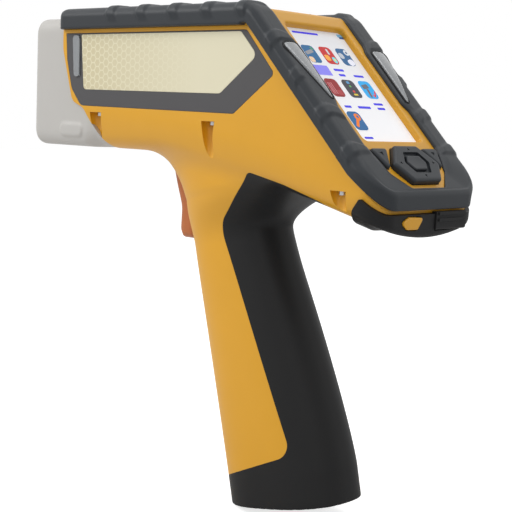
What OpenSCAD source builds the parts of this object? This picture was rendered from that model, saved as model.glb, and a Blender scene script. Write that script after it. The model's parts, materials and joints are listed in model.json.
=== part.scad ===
// Handheld XRF analyzer: pistol-grip body with a sloped display, a rubber bumper and a battery in the handle.
// X runs from the nose to the tail, Y across, Z up. The origin is the centre of the foot's bottom face.

/* [Body] */
// Distance from the foot's centre forward to the nose face
nose_reach = 165; // [155:1:175]
// Distance from the foot's centre back to the housing's tail
tail_reach = 67.5; // [66:0.5:70]
// Height of the body from its flat underside to the cover's flat top
body_h = 68.5; // [65:0.5:72]
// Half of the housing's width across its flat sides
side_y = 37.5; // [36.5:0.1:40]
// Half of the underside's width
under_y = 31; // [28:0.5:33]
// Height of the flat underside ahead of the trigger
under_z = 166.5; // [164:0.5:170]
// How far the underside drops from there to the tail
under_drop = 29; // [26:0.5:31]
// Height of the side crease above the underside at the nose
crease_rise = 11; // [9:0.5:14]
// How far the crease drops from the nose to the tail
crease_drop = 34; // [30:0.5:36]
// Wall thickness of the main housing
wall = 3; // [2.4:0.1:3.4]
// Radius of the rounded edge between flank and underside
under_r = 5; // [3:0.5:7]
// Radius of the tail's corners seen from above
tail_r = 10; // [7:0.5:13]
// Gap between pieces of the shell that only meet
seam = 0.1; // [0.05:0.01:0.15]

/* [Top cover and display] */
// Slope of the display face below the horizontal
display_angle = 46.5; // [44:0.5:49]
// Depth of the top cover's side below its flat top
cover_t = 8.5; // [7.5:0.1:9.5]
// Depth of the top cover's side below the display face, square to the face
face_t = 6; // [5.5:0.1:7]
// Height of the housing's tail below the cover
tail_h = 10.2; // [9:0.1:12]
// Wall thickness of the cover
cover_wall = 3; // [2.5:0.1:3.2]
// Width of the display opening
opening_w = 44.5; // [40:0.5:47]
// Length of the panel with the keys, from the opening to the foot of the slope
keypad_l = 29; // [27:0.1:32]
// Distance from the top edge of the display face to the opening
opening_margin = 8; // [7:0.1:10]
// Thickness of the display glass
glass_t = 1.2; // [0.8:0.1:1.6]
// How far the glass reaches under the bezel on each side
glass_lap = 2; // [1:0.1:2.5]
// Thickness of the display module
lcd_t = 5; // [3.5:0.1:5.5]
// Thickness of the circuit boards
board_t = 1.6; // [1.2:0.1:2]
// Thickness of the metal plate that carries the display module
frame_t = 1.5; // [1:0.1:2]
// Height of the posts between that plate and the main board
spacer_h = 5; // [4:0.5:7]

/* [Bumper] */
// Width of the bumper's band on the top and display faces
bumper_w = 14.5; // [12:0.5:15.5]
// How far the bumper stands out of the housing's side
bumper_side = 4.2; // [3:0.1:5]
// How far the bumper stands out behind the tail
bumper_tail = 2.8; // [2:0.1:4]
// How far the bumper stands above the cover's face
bumper_rise = 2; // [1.5:0.1:3]
// Depth of the rebate that the bumper lies in
bumper_seat = 2; // [1.5:0.1:2.2]
// Radius of the bumper's outer edge
bumper_r = 4.5; // [3:0.1:5]
// How far a grip ridge stands out of the bumper
ridge_rise = 0.9; // [0.5:0.1:1.3]
// Length of a grip ridge
ridge_l = 8; // [5:0.5:10]

/* [Keys] */
// Distance from the display opening to the middle of the keypad
keypad_gap = 15.3; // [15.2:0.1:15.7]
// Half of the navigation pad's width
nav_y = 17.5; // [16:0.1:18]
// Half of the navigation pad's height
nav_u = 10.2; // [9.5:0.1:10.4]
// How far the navigation pad stands out
nav_rise = 3; // [2:0.1:4]
// Size of the select key across its flats
select_flat = 11; // [9:0.5:12]
// How far the side keys stand out
key_rise = 1.8; // [1:0.1:2.5]
// How far each key travels
key_travel = 0.8; // [0.5:0.1:1]
// Gap round each key
key_gap = 0.35; // [0.3:0.05:0.5]

/* [Nose] */
// Half of the nose cover's width
nose_y = 36.6; // [35.5:0.1:37.5]
// How far the nose's top lies below the cover's top
nose_drop = 2; // [0.5:0.1:6]
// Radius of the nose cover's long edges
nose_r = 6; // [4:0.5:8]
// Thickness of the nose cover's walls
nose_wall = 3; // [2.5:0.1:3.5]
// Thickness of the front plate
plate_t = 1.5; // [1:0.1:2]
// Height of the measuring window's centre
window_z = 200; // [196:0.5:204]
// Radius of the measuring window
window_r = 6; // [4:0.5:8]
// Radius of the proximity button
button_r = 2.5; // [2:0.1:3]
// How far the proximity button stands out
button_rise = 1.6; // [1:0.1:2]

/* [Side panels] */
// Thickness of the dark side band
band_t = 1.2; // [0.9:0.1:1.5]
// Thickness of the patterned side label
label_t = 0.4; // [0.3:0.05:0.5]
// Height of the yellow strip between the bumper and the side band
strip_h = 2; // [1.5:0.1:2.5]

/* [Handle] */
// Tilt of the foot's plane, and so of the battery's way out
foot_tilt = 11.3; // [9:0.1:13]
// Distance from the foot's centre to its front and back
foot_p = 33.5; // [31:0.5:35]
// Half of the foot's width
foot_y = 25.5; // [24:0.5:28]
// Height of the handle's waist, square to the foot
waist_h = 133; // [129:0.5:137]
// How far the handle's front leans out between foot and waist
lean_front = 8.2; // [6:0.1:10]
// How far the handle's back leans in between foot and waist
lean_back = 25.6; // [24:0.1:27]
// Half of the handle's width at its waist
waist_y = 20.5; // [19.5:0.1:22]
// Thickness of the rubber grip
grip_t = 2.5; // [2:0.1:3]

/* [Battery] */
// Length of the battery pack above its cap
pack_h = 89; // [80:0.5:92]
// Size of the battery pack from front to back
pack_p = 36; // [34:0.5:37]
// Width of the battery pack
pack_y = 28; // [26:0.5:29]
// Thickness of the battery pack's cap
cap_t = 6; // [5:0.1:7]
// Gap round the battery pack in its well
pack_gap = 0.5; // [0.4:0.05:0.6]
// Travel of the battery latch
latch_travel = 3; // [2:0.1:3.5]

/* [Trigger] */
// Width of the trigger
trigger_w = 15; // [13:0.5:16]
// Height of the trigger's pivot
pivot_z = 157; // [155:0.5:159]
// Distance along X from the foot's centre to the pivot
pivot_x = -66; // [-68:0.5:-64]
// Radius of the trigger's pin
pin_r = 2; // [1.5:0.1:2.5]
// Radial gap between the pin and the trigger
pin_gap = 0.06; // [0.04:0.01:0.09]
// Length of the trigger below its pivot
trigger_l = 35; // [32:0.5:37]

/* [Hidden] */
$fn = 48;
far = 400;                                    // longer than the whole object
eps = 0.02;                                   // overlap that joins two shapes of one piece

yellow = "#dfa42f";
charcoal = "#3b3f42";
rubber_black = "#1e1e1f";
nose_grey = "#c4c2be";
band_grey = "#55565a";
cream = "#dfd8bd";
steel = "#b8bcc0";
board_green = "#2c6a48";

nose_x = -nose_reach;                         // X of the nose face
ca = cos(display_angle);
sa = sin(display_angle);
top_z = under_z + body_h;                     // height of the cover's flat top
nose_top_z = top_z - nose_drop;
crease_z = under_z + crease_rise;             // height of the side crease at the nose
split_z = top_z - cover_t;                    // height of the parting plane along the top
tail_split = under_z - under_drop + tail_h;   // its height at the tail
brow_mid = tail_reach - (split_z - tail_split) / tan(display_angle);  // X where the parting plane bends
brow_x = brow_mid - (cover_t - face_t / ca) / tan(display_angle);     // X of the top edge of the display face
face_l = (tail_reach - brow_x) / ca;          // length of the display face down its slope
opening_u = opening_margin;                   // start of the opening down the slope
opening_l = face_l - opening_margin - keypad_l;
opening_end = opening_u + opening_l;
keypad_u = opening_end + keypad_gap;          // middle of the keypad down the slope
seat_x = nose_x + 25.5;                       // front end of the top cover and of the housing's side
outer_y = side_y + bumper_side;               // half of the whole width

// ---- Points, arcs and sections ----

function unit(v) = v / norm(v);
function turned(v, a) = [v[0] * cos(a) - v[1] * sin(a), v[0] * sin(a) + v[1] * cos(a)];
function cross2(u, v) = u[0] * v[1] - u[1] * v[0];

// The arc of radius r that rounds corner b between its neighbours a and c
function corner(a, b, c, r, steps) =
    let (u = unit(a - b), v = unit(c - b), half = acos(u * v) / 2,
         centre = b + unit(u + v) * r / sin(half), start = b + u * r / tan(half) - centre,
         sweep = (180 - 2 * half) * (cross2(u, v) < 0 ? 1 : -1))
    [for (i = [0:steps]) centre + turned(start, sweep * i / steps)];

// An outline from corners [x, y, radius]
function rounded(c, steps = 5) = let (n = len(c))
    [for (i = [0:n - 1])
        let (p = c[i], a = c[(i + n - 1) % n], b = c[(i + 1) % n])
        each (p[2] > 0 ? corner([a[0], a[1]], [p[0], p[1]], [b[0], b[1]], p[2], steps) : [[p[0], p[1]]])];

// An oval between an ellipse (power 2) and a rectangle, centred on x = mid
function oval(a, b, power, mid, steps) =
    [for (i = [0:steps - 1])
        let (t = 360 * (i + 0.5) / steps, c = cos(t), s = sin(t))
        [mid + a * sign(c) * pow(abs(c), 2 / power), b * sign(s) * pow(abs(s), 2 / power)]];

// A solid through rings of points: each ring has as many points as the next
module loft(rings) {
    n = len(rings[0]);
    last = len(rings) - 1;
    sides = [for (j = [0:last - 1], i = [0:n - 1])
        let (k = (i + 1) % n, a = j * n, b = (j + 1) * n)
        each [[a + i, b + k, a + k], [a + i, b + i, b + k]]];
    polyhedron(points = [for (r = rings) each r],
        faces = concat([[for (i = [0:n - 1]) i]], sides, [[for (i = [n - 1:-1:0]) last * n + i]]));
}

// ---- The frame of the display face: u runs down the slope, y across, n square out of the face ----

module on_face() {
    translate([brow_x, 0, top_z]) rotate([0, display_angle, 0]) children();
}

// ---- The frame of the handle: p runs backwards, h along the battery's way in ----

module in_handle() {
    rotate([0, -foot_tilt, 0]) children();
}

// ---- Outlines of the body ----

// An XZ outline made solid across the whole width, or from y0 to y1
module across(outline, y0 = -far / 2, y1 = far / 2) {
    translate([0, y1, 0]) rotate([90, 0, 0]) linear_extrude(height = y1 - y0) polygon(outline);
}

function past(x, start) = max(0, x - start);
function crease(x) = crease_z - crease_drop * pow(past(x, -110) / (tail_reach + 110), 2);
function under(x) = under_z - under_drop * pow(past(x, -70) / (tail_reach + 70), 1.3);
function split(x) = split_z - past(x, brow_mid) * tan(display_angle);
function plan_y(x, t) = let (d = past(x, tail_reach - tail_r), r = tail_r - t)
    side_y - tail_r + sqrt(max(0, r * r - d * d));

// One cross-section of the housing, drawn in by the wall thickness t, with its top raised by lift
function body_ring(x, t, lift) =
    let (w = plan_y(x, t), u = under_y - side_y + w, zu = under(x) + t, top = split(x) + lift,
         zc = min(crease(x), split(x) - 1.5), r = max(under_r - t, 2),
         half = rounded([[-u, zu, r], [u, zu, r], [w, zc, 3], [w, top, 0], [-w, top, 0], [-w, zc, 3]], 3))
    [for (q = half) [x, q[0], q[1]]];

body_x = [-115, -95, -70, -45, -20, brow_mid, 5, 20, 35, 48];
corner_share = [0, 0.5, 0.8, 0.95, 1];        // steps round a corner of the tail

// The housing's outer form, drawn in by t, from X = start to the tail
module body_solid(t = 0, start = seat_x, lift = 0) {
    stations = concat([start], body_x, [for (f = corner_share) tail_reach - tail_r + (tail_r - t) * f]);
    loft([for (x = stations) body_ring(x, t, lift)]);
}

// The outline of the shell seen from above, drawn in by t at the sides and by back at the tail
function plan(t, back) = let (w = side_y - t)
    rounded([[seat_x - 1, -w, 0], [tail_reach - back, -w, tail_r - t], [tail_reach - back, w, tail_r - t],
             [seat_x - 1, w, 0]], 6);

module plan_prism(t, back = far) {
    translate([0, 0, under_z - 60]) linear_extrude(height = 200) polygon(plan(t, back == far ? t : back));
}

// ---- Outlines of the handle ----

flare_h = waist_h + 17;                       // height where the handle's front starts to flare
handle_top = under_z + 14.5;                  // height of the handle's end inside the body

function handle_front(h) = -foot_p - lean_front * min(h, waist_h) / waist_h - 0.018 * pow(past(h, flare_h), 2);
function handle_back(h) =
    min(58, foot_p - lean_back * pow(past(min(h, waist_h), 16) / (waist_h - 16), 1.3)
        + 0.13 * pow(past(h, waist_h), 2));
function handle_half(h) = h < waist_h ? waist_y + (foot_y - waist_y) * pow(1 - h / waist_h, 1.2)
    : min(under_y - 1, waist_y + 0.035 * pow(h - waist_h, 2));

// One cross-section of the handle, drawn in by t
function handle_ring(h, t) =
    let (front = handle_front(h) + t, back = handle_back(h) - t)
    [for (q = oval((back - front) / 2, handle_half(h) - t, 2.5, (back + front) / 2, 28)) [q[0], q[1], h]];

handle_h = concat([for (f = [0.12, 0.3, 0.48, 0.66, 0.83, 0.93]) f * waist_h], [waist_h, waist_h + 5,
    waist_h + 9, waist_h + 13], [for (k = [0:4]) flare_h + k / 4 * (handle_top - flare_h)]);

module handle_solid(t = 0, start = 0) {
    in_handle() loft([for (h = concat([start], handle_h)) handle_ring(h, t)]);
}

// ---- Regions that parts of the shell share ----

// The nose cover's side view, with the slanted line that it meets the housing on, grown by g
function nose_outline(g = 0) = rounded([[nose_x - 5, top_z + 9, 0], [nose_x - 5, under_z - 9, 0],
    [seat_x + 38 + g, under_z - 9, 0], [seat_x + 17 + g, under_z + 20, 8], [seat_x + 8 + g, under_z + 23.5, 6],
    [seat_x + g, under_z + 50, 20], [seat_x + g, top_z + 9, 0]]);

// The grip's side view: behind the handle's middle, round its base, and up under the body
grip_outline = rounded([[-18, under_z - 6.5, 7], [-35, waist_h - 6, 18], [14, 34, 7], [-60, 4, 0],
    [-60, -40, 0], [90, -40, 0], [90, 60, 0], [46, under_z - 30.5, 0], [31, under_z - 17, 0]], 6);

// The side view of all that lies more than t below the cover's outside, down to the height low
function cover_outline(t, low) =
    let (bend = brow_x - t * tan(display_angle / 2), tail = tail_reach - max(t, 0))
    [[seat_x + (t > 0 ? -1 : seam), low], [tail, low],
     [tail, top_z - t - (tail - bend) * tan(display_angle)], [bend, top_z - t],
     [seat_x + (t > 0 ? -1 : seam), top_z - t]];

// The side view of the space above the parting plane, raised by g
function above_split(g) = [[seat_x - 9, split_z + g], [brow_mid, split_z + g],
    [tail_reach + 30, split_z + g - (tail_reach + 30 - brow_mid) * tan(display_angle)],
    [tail_reach + 30, top_z + 30], [seat_x - 9, top_z + 30]];

// Corners [x, y, radius] of a convex outline, each edge moved out by g
function grown(c, g) = let (n = len(c))
    [for (i = [0:n - 1])
        let (p = [c[i][0], c[i][1]], a = c[(i + n - 1) % n], b = c[(i + 1) % n],
             u = unit(p - [a[0], a[1]]), v = unit([b[0], b[1]] - p),
             nu = [u[1], -u[0]], nv = [v[1], -v[0]], q = p + g * (nu + nv) / (1 + nu * nv))
        [q[0], q[1], c[i][2] + max(g, 0)]];

module slab(corners, low, high) {
    translate([0, 0, low]) linear_extrude(height = high - low) polygon(rounded(corners, 4));
}

// ---- Fasteners ----

pocket_x = [-113, -33, tail_reach - 22];      // screw pockets along each side
pocket_z = [crease_z + 7, crease_z + 5, crease_z - 22.2];  // ceilings of those pockets
screw_y = side_y - 4.1;
screw_r = 1;
screw_l = 9;
head_r = 1.8;
head_h = 1.8;
head_sink = 1;                                // depth of the nose screws' seats in the front plate
pocket_r = 4.6;
pocket_y = side_y - 1.7;
ledge_t = 2.5;                                // what a screw clamps under the cover's pillar
pillar_r = 2.6;
pillar_flat = side_y - wall + 0.6;            // the pillars stand in shallow grooves in the side walls

module both_sides() {
    children();
    mirror([0, 1, 0]) children();
}

module housing_screws() {
    color(steel) both_sides() for (i = [0:2])
        translate([pocket_x[i], screw_y, pocket_z[i]]) {
            translate([0, 0, -head_h]) difference() {
                cylinder(r = head_r, h = head_h);
                translate([0, 0, -eps]) cylinder(r = 0.9, h = 1, $fn = 6);
            }
            translate([0, 0, -eps]) cylinder(r = screw_r, h = screw_l);
        }
}

// The walls round the screw pockets, inside the housing
module pocket_walls() {
    both_sides() for (i = [0:2])
        translate([pocket_x[i], pocket_y, under_z - 60])
            cylinder(r = pocket_r + 2, h = pocket_z[i] + ledge_t - under_z + 60);
}

module pillar_grooves() {
    both_sides() for (i = [0:2])
        translate([pocket_x[i] - pillar_r - seam, 0, pocket_z[i] + ledge_t])
            cube([2 * (pillar_r + seam), pillar_flat + seam, 80]);
}

// ---- Main housing ----

well_p = -7;                                  // middle of the battery well, front to back
well_top = cap_t + pack_h + 2;
slot_y = trigger_w / 2 + 0.5;
switch_w = 8;

// The shell without its openings, drawn in by t
module shell_form(t) {
    body_solid(t, seat_x + t);
    handle_solid(t, -t);
}

module grip_space(t) {
    difference() {
        across(grip_outline);
        shell_form(t);
    }
}

function well_outline(g) = grown([[well_p - pack_p / 2, -pack_y / 2, 6], [well_p + pack_p / 2, -pack_y / 2, 6],
    [well_p + pack_p / 2, pack_y / 2, 6], [well_p - pack_p / 2, pack_y / 2, 6]], g);

function cap_outline(g) = oval(foot_p - 5.2 + g, foot_y - 5.2 + g, 2.5, 0, 40);

module trigger_space() {
    across([[-110, under_z - 3], [-110, 117], [pivot_x + 9, 117], [pivot_x + 9, under_z - 3]], -slot_y, slot_y);
}

module cavity() {
    intersection() {
        body_solid(wall, seat_x - 2, 40);
        across([[seat_x - 9, under_z], [-70, under_z], [-45, under_z + 0.5], [-17, 163], [30, 153],
            [tail_reach, under_z - 60], [tail_reach, top_z + 50], [seat_x - 9, top_z + 50]]);
    }
}

module screw_pockets() {
    both_sides() for (i = [0:2]) {
        translate([pocket_x[i], pocket_y, pocket_z[i] - 20]) cylinder(r1 = 1.6, r2 = pocket_r, h = 20);
        translate([pocket_x[i], screw_y, pocket_z[i] - 1]) cylinder(r = screw_r + seam, h = screw_l);
    }
}

module main_housing() {
    color(yellow) difference() {
        union() {
            body_solid();
            handle_solid();
        }
        difference() {
            cavity();
            pocket_walls();
        }
        pillar_grooves();
        grip_space(grip_t + seam);
        across(nose_outline(seam));
        screw_pockets();
        both_sides() across(band_outline(seam), side_y - band_t - seam, far / 2);
        in_handle() {
            slab(well_outline(pack_gap), -1, well_top);
            translate([0, 0, -1]) linear_extrude(height = cap_t + 1 + seam) polygon(cap_outline(0.3));
            slab(contact_outline(seam), well_top - 1, well_top + 9);
        }
        trigger_space();
        switch_space();
        pin_holes();
        translate([tail_reach - 9, port_hole[0][0], port_hole[0][1]])
            cube([20, port_hole[1][0] - port_hole[0][0], port_hole[1][1] - port_hole[0][1]]);
    }
}

band_top = split_z - strip_h;                 // top of the side band
function band_outline(g) = rounded(grown([[seat_x + 2.5, band_top, 0], [seat_x + 3.5, under_z + 45, 8],
    [seat_x + 7.5, under_z + 30, 8], [seat_x + 15, under_z + 21.3, 5], [brow_x - 9.9, under_z + 20, 3],
    [brow_x + 14.1, under_z + 38.3, 2], [brow_x - 3.4, band_top, 3]], g));

// ---- Top cover ----

inner_y = outer_y - bumper_w;                 // inner edge of the bumper's side bands
lip = 1.6;                                    // width of the bumper's band along the tail

module top_cover() {
    color(yellow) difference() {
        union() {
            difference() {
                intersection() {
                    across(cover_outline(0, under_z - 60));
                    across(above_split(seam));
                    plan_prism(0);
                }
                intersection() {
                    across(cover_outline(cover_wall, under_z - 60));
                    plan_prism(cover_wall);
                }
            }
            on_face() cover_posts();
            cover_pillars();
        }
        bumper_rebate();
        on_face() {
            slab([[opening_u, -opening_w / 2, 2.5], [opening_end, -opening_w / 2, 2.5],
                [opening_end, opening_w / 2, 2.5], [opening_u, opening_w / 2, 2.5]], -9, 9);
            translate([keypad_u, 0, 0]) {
                slab(grown(nav_corners, key_gap), -9, 9);
                both_sides() slab(grown(key_corners, key_gap), -9, 9);
            }
        }
    }
}

// What the bumper lies in: the cover's rim, lowered by the seat's depth
module bumper_rebate() {
    above = cover_outline(bumper_seat, 0);
    sunk = [[seat_x - 9, above[4][1]], above[3], above[2] + [30, -30 * tan(display_angle)],
        [tail_reach + 60, top_z + 30], [seat_x - 9, top_z + 30]];
    both_sides() across(sunk, inner_y, far / 2);
    difference() {
        across(sunk);
        plan_prism(lip);
        translate([-far, -far / 2, 0]) cube([far + tail_reach - tail_r, far, far]);
    }
}

post_r = 3;
post_y = side_y - cover_wall - post_r - 0.2;
frame_n = -(cover_wall + glass_t + lcd_t);    // underside of the display module
post_u = [opening_u - 1, opening_end - 12];

// Posts under the display face that carry the display module's plate
module cover_posts() {
    both_sides() for (u = post_u)
        translate([u, post_y, frame_n]) cylinder(r = post_r, h = -frame_n - bumper_seat - 0.4);
}

function pillar_top(x) = top_z - cover_wall + 0.5 - past(x, brow_x) * tan(display_angle)
    - (x > brow_x ? cover_wall * (1 / ca - 1) : 0);

// Pillars that reach down to the housing's ledges and take its screws
module cover_pillars() {
    both_sides() for (i = [0:2]) {
        foot = pocket_z[i] + ledge_t;
        translate([pocket_x[i], screw_y, foot]) difference() {
            intersection() {
                cylinder(r = pillar_r, h = pillar_top(pocket_x[i]) - foot);
                translate([-9, -9, -1]) cube([18, 9 + pillar_flat - screw_y, 90]);
            }
            translate([0, 0, -1]) cylinder(r = screw_r + 0.05, h = screw_l - ledge_t + 1.5);
        }
    }
}

// ---- Bumper ----

// The section of a side band: across the flat rim and down over the edge. Heights are from the outer face.
module band_section(depth, grow) {
    polygon(rounded([[side_y + seam, -depth, 0], [outer_y + grow, -depth, 0.6],
        [outer_y + grow, bumper_rise + grow, bumper_r], [inner_y, bumper_rise + grow, 1.2],
        [inner_y, seam - bumper_seat, 0], [side_y + seam, seam - bumper_seat, 0]], 5));
}

module band_run(depth, grow, from, to) {
    both_sides() rotate([90, 0, 90]) translate([0, 0, from])
        linear_extrude(height = to - from) band_section(depth, grow);
}

mitre = [sin(display_angle / 2), cos(display_angle / 2)];  // the line halfway round the brow
brow = [brow_x, top_z];
ridge_pitch = 22;
top_ridges = [for (k = [4:-1:0]) brow_x - 5 - k * ridge_pitch];  // X of the ridges along the top
face_ridges = [for (k = [0:3]) 19.8 + k * ridge_pitch];          // u of the ridges down the display face

module top_half() {
    across([brow + 20 * mitre, [nose_x, top_z + 30], [nose_x, top_z - 60], brow - 60 * mitre]);
}

module face_half() {
    across([brow + 20 * mitre, brow - 60 * mitre, [brow_x + 60, top_z - 200], [tail_reach + 90, top_z + 30]]);
}

module bumper() {
    color(charcoal) difference() {
        bumper_form();
        both_sides() on_face() slab(grown(lens_corners, seam), bumper_rise, bumper_rise + 9);
    }
}

module bumper_form() {
    union() {
        intersection() {
            union() {
                band_run_top(0, seat_x + seam, brow_x + 20);
                for (x = top_ridges) band_run_top(ridge_rise, x - ridge_l / 2, x + ridge_l / 2);
            }
            top_half();
        }
        intersection() {
            union() {
                on_face() band_run(face_t - seam, 0, -20, face_l + 20);
                for (u = face_ridges)
                    on_face() band_run(face_t - seam, ridge_rise, u - ridge_l / 2, u + ridge_l / 2);
            }
            face_half();
            plan_prism(-bumper_side - ridge_rise, -bumper_tail);
            on_face() translate([-50, -far / 2, -60]) cube([50 + face_l - tail_r, far, 120]);
        }
        tail_band();
    }
}

module band_run_top(grow, from, to) {
    translate([0, 0, top_z]) band_run(cover_t - seam, grow, from, to);
}

// The bumper's run round the tail: outside the cover, with a narrow lip over its rim
module tail_band() {
    intersection() {
        union() {
            difference() {
                plan_prism(-bumper_side, -bumper_tail);
                plan_prism(-seam);
            }
            difference() {
                plan_prism(-seam - eps);
                intersection() {
                    plan_prism(lip - seam);
                    translate([-far / 2, -inner_y, 0]) cube([far, 2 * inner_y, far]);
                }
                on_face() translate([-far, -far / 2, -far]) cube([2 * far, far, far - bumper_seat + seam]);
            }
        }
        on_face() difference() {
            translate([face_l - tail_r - eps, -far / 2, -far]) cube([far, far, far + bumper_rise]);
            translate([0, -inner_y, -bumper_seat]) cube([keypad_u + nav_u + key_gap, 2 * inner_y, 20]);
        }
        across(above_split(seam));
        translate([-far / 2, -far / 2, tail_split + 0.5]) cube([far, far, far]);
    }
}

// ---- Grip, shroud and ports ----

module grip() {
    color(rubber_black) difference() {
        intersection() {
            union() {
                body_solid();
                handle_solid();
            }
            across(grip_outline);
        }
        shell_form(grip_t);
    }
}

shroud_t = 2;
shroud_front = tail_reach - 16.5;             // X of the shroud's front end at its lower edge
shroud_top = tail_split - seam;
shroud_notch = tail_split - 6.2;              // foot of the notch that shows the housing
// The shroud's side view; its lower edge follows the housing's underside
shroud_outline = concat([[tail_reach + 9, tail_split - 12.2], [tail_reach + 9, shroud_top],
    [tail_reach - 3, shroud_top], [shroud_front + 3, tail_split + 3.8], [shroud_front, tail_split - 1.7]],
    [for (x = [shroud_front, shroud_front + 6, tail_reach - 4]) [x, under(x) - shroud_t]]);
port_y = [3, 27];                             // the port cover's span across the tail
port_z = [tail_split - 8.7, tail_split - 0.5];
port_x = tail_reach + shroud_t + seam;

module tail_shroud() {
    color(rubber_black) difference() {
        intersection() {
            across(shroud_outline);
            plan_prism(-shroud_t);
        }
        intersection() {
            body_solid(-seam);
            plan_prism(-seam);
        }
        translate([tail_reach - 5, port_y[0] - 0.3, port_z[0] - 0.3])
            cube([20, port_y[1] - port_y[0] + 0.6, 20]);
        across([[tail_reach - 9, shroud_notch], [tail_reach + 9, shroud_notch], [tail_reach + 9, shroud_top + 9],
            [tail_reach - 9, shroud_top + 9]], -13, -1);
    }
}

port_hole = [[5, tail_split - 5.7], [25, tail_split - 1.2]];  // y and z of the opening behind the port cover
flap_t = 2.4;
hinge = [tail_reach + seam + flap_t / 2, port_z[0] + flap_t / 2];

module port_block() {
    y0 = port_hole[0][0] + seam;
    z0 = port_hole[0][1] + seam;
    w = port_hole[1][0] - port_hole[0][0] - 2 * seam;
    h = port_hole[1][1] - port_hole[0][1] - 2 * seam;
    color(steel) difference() {
        translate([tail_reach - 5.5, y0, z0]) cube([5.5 - seam, w, h]);
        translate([tail_reach - 4.5, y0 + 2, z0 + h / 2 - 1.4]) cube([9, 8, 2.8]);
        translate([tail_reach - 4.5, y0 + w - 4, z0 + h / 2]) rotate([0, 90, 0]) cylinder(r = 1.4, h = 9);
    }
}

// A rubber flap over the sockets, hinged along its lower edge
module port_cover() {
    color(rubber_black) translate([0, port_y[0], 0]) {
        translate([hinge[0], 0, hinge[1]]) rotate([-90, 0, 0]) cylinder(r = flap_t / 2, h = port_y[1] - port_y[0]);
        translate([hinge[0] - flap_t / 2, 0, hinge[1]])
            cube([flap_t, port_y[1] - port_y[0], port_z[1] - hinge[1]]);
        for (z = [port_z[1] - 1.6, port_z[1] - 4.4])
            translate([hinge[0] + flap_t / 2 - eps, 1.5, z]) cube([0.7, port_y[1] - port_y[0] - 3, 1.3]);
    }
}

// ---- Nose ----

nose_edge = 4;                                // radius of the nose's front edge
function nose_inset(d) = d < nose_edge ? nose_edge - sqrt(pow(nose_edge, 2) - pow(nose_edge - d, 2)) : 0;

// One cross-section of the nose, at a distance d behind its face, drawn in by t
function nose_ring(d, t) =
    let (g = t + nose_inset(d), w = nose_y - g, r = max(nose_r - g, 1.5))
    [for (q = rounded([[-w, under_z + g, r], [w, under_z + g, r], [w, nose_top_z - g, r],
                       [-w, nose_top_z - g, r]], 4)) [nose_x + d + t, q[0], q[1]]];

module nose_form(t, from = 0) {
    loft([for (d = [from, 0.05 * nose_edge, 0.2 * nose_edge, 0.5 * nose_edge, nose_edge, seat_x - nose_x + 38])
        nose_ring(d, t)]);
}

plate_y = 29;
plate_z = [172, 214];
module plate_form(t, thick) {
    rotate([90, 0, -90]) linear_extrude(height = thick)
        polygon(rounded([[-plate_y - t, plate_z[0] - t, 4], [plate_y + t, plate_z[0] - t, 4],
            [plate_y + t, plate_z[1] + t, 4], [-plate_y - t, plate_z[1] + t, 4]], 5));
}

button_z = 181;
button_y = -12;
film_r = window_r + 3;

pill_x = nose_x + 34;                         // middle of the raised oval on the nose's side
pill_z = under_z + 11;
pill_l = 18;
pill_r = 4;
pill_rise = 0.8;

// The raised oval on each side of the nose cover
module pill() {
    translate([pill_x, 0, pill_z]) rotate([90, 0, 0]) {
        for (x = [-1, 1])
            translate([x * (pill_l / 2 - pill_r), 0, -nose_y - pill_rise])
                cylinder(r = pill_r, h = pill_rise + 1);
        translate([pill_r - pill_l / 2, -pill_r, -nose_y - pill_rise])
            cube([pill_l - 2 * pill_r, 2 * pill_r, pill_rise + 1]);
    }
}

module nose_screw_places() {
    for (y = [-plate_y + 4, plate_y - 4], z = [plate_z[0] + 4, plate_z[1] - 4])
        translate([nose_x, y, z]) rotate([0, 90, 0]) children();
}

module window_place(depth) {
    translate([nose_x + depth, 0, window_z]) rotate([0, 90, 0]) children();
}

module button_place(depth) {
    translate([nose_x + depth, button_y, button_z]) rotate([0, 90, 0]) children();
}

module nose_cover() {
    color(nose_grey) union() {
        difference() {
            intersection() {
                nose_form(0);
                across(nose_outline(0));
            }
            nose_form(nose_wall);
            window_place(-1) cylinder(r = window_r + 1, h = 9);
            window_place(-1) cylinder(r = film_r + seam, h = 1.35);
            button_place(-1) cylinder(r = button_r + 0.3, h = 9);
            nose_screw_places() translate([0, 0, -1]) cylinder(r = screw_r + seam, h = 6);
        }
        both_sides() pill();
    }
}

module nose_plate() {
    color(band_grey) difference() {
        translate([nose_x, 0, 0]) plate_form(0, plate_t);
        window_place(-plate_t - 1) cylinder(r = window_r, h = 9);
        button_place(-plate_t - 1) cylinder(r = button_r + 0.3, h = 9);
        nose_screw_places() translate([0, 0, -plate_t - 1]) {
            cylinder(r = screw_r + seam, h = 9);
            cylinder(r = head_r + seam, h = 1 + head_sink);
        }
    }
}

module nose_screws() {
    color(steel) nose_screw_places() translate([0, 0, head_sink - plate_t]) {
        translate([0, 0, -0.8]) difference() {
            cylinder(r = head_r, h = 0.8);
            translate([0, 0, -eps]) cylinder(r = 0.8, h = 0.5, $fn = 6);
        }
        translate([0, 0, -eps]) cylinder(r = screw_r, h = nose_wall + plate_t - head_sink + 4);
    }
}

module window_film() {
    color("#c98a2b", 0.7) window_place(0) cylinder(r = film_r, h = 0.3);
}

module proximity_button() {
    color(charcoal) button_place(-plate_t - button_rise) {
        cylinder(r = button_r, h = plate_t + button_rise + nose_wall + 1);
        translate([0, 0, plate_t + button_rise + nose_wall + 0.3]) cylinder(r = button_r + 1, h = 1.2);
    }
}

// ---- Inside the nose and body ----

block_x = [nose_x + nose_wall + seam, nose_x + 34];
block_y = 24;
block_z = [under_z + wall + 9, top_z - 13];
tube_r = 10;
tube_z = 210;
tube_l = 74;
detector_r = 7;
detector_tilt = 8;
detector_l = 34;

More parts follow.
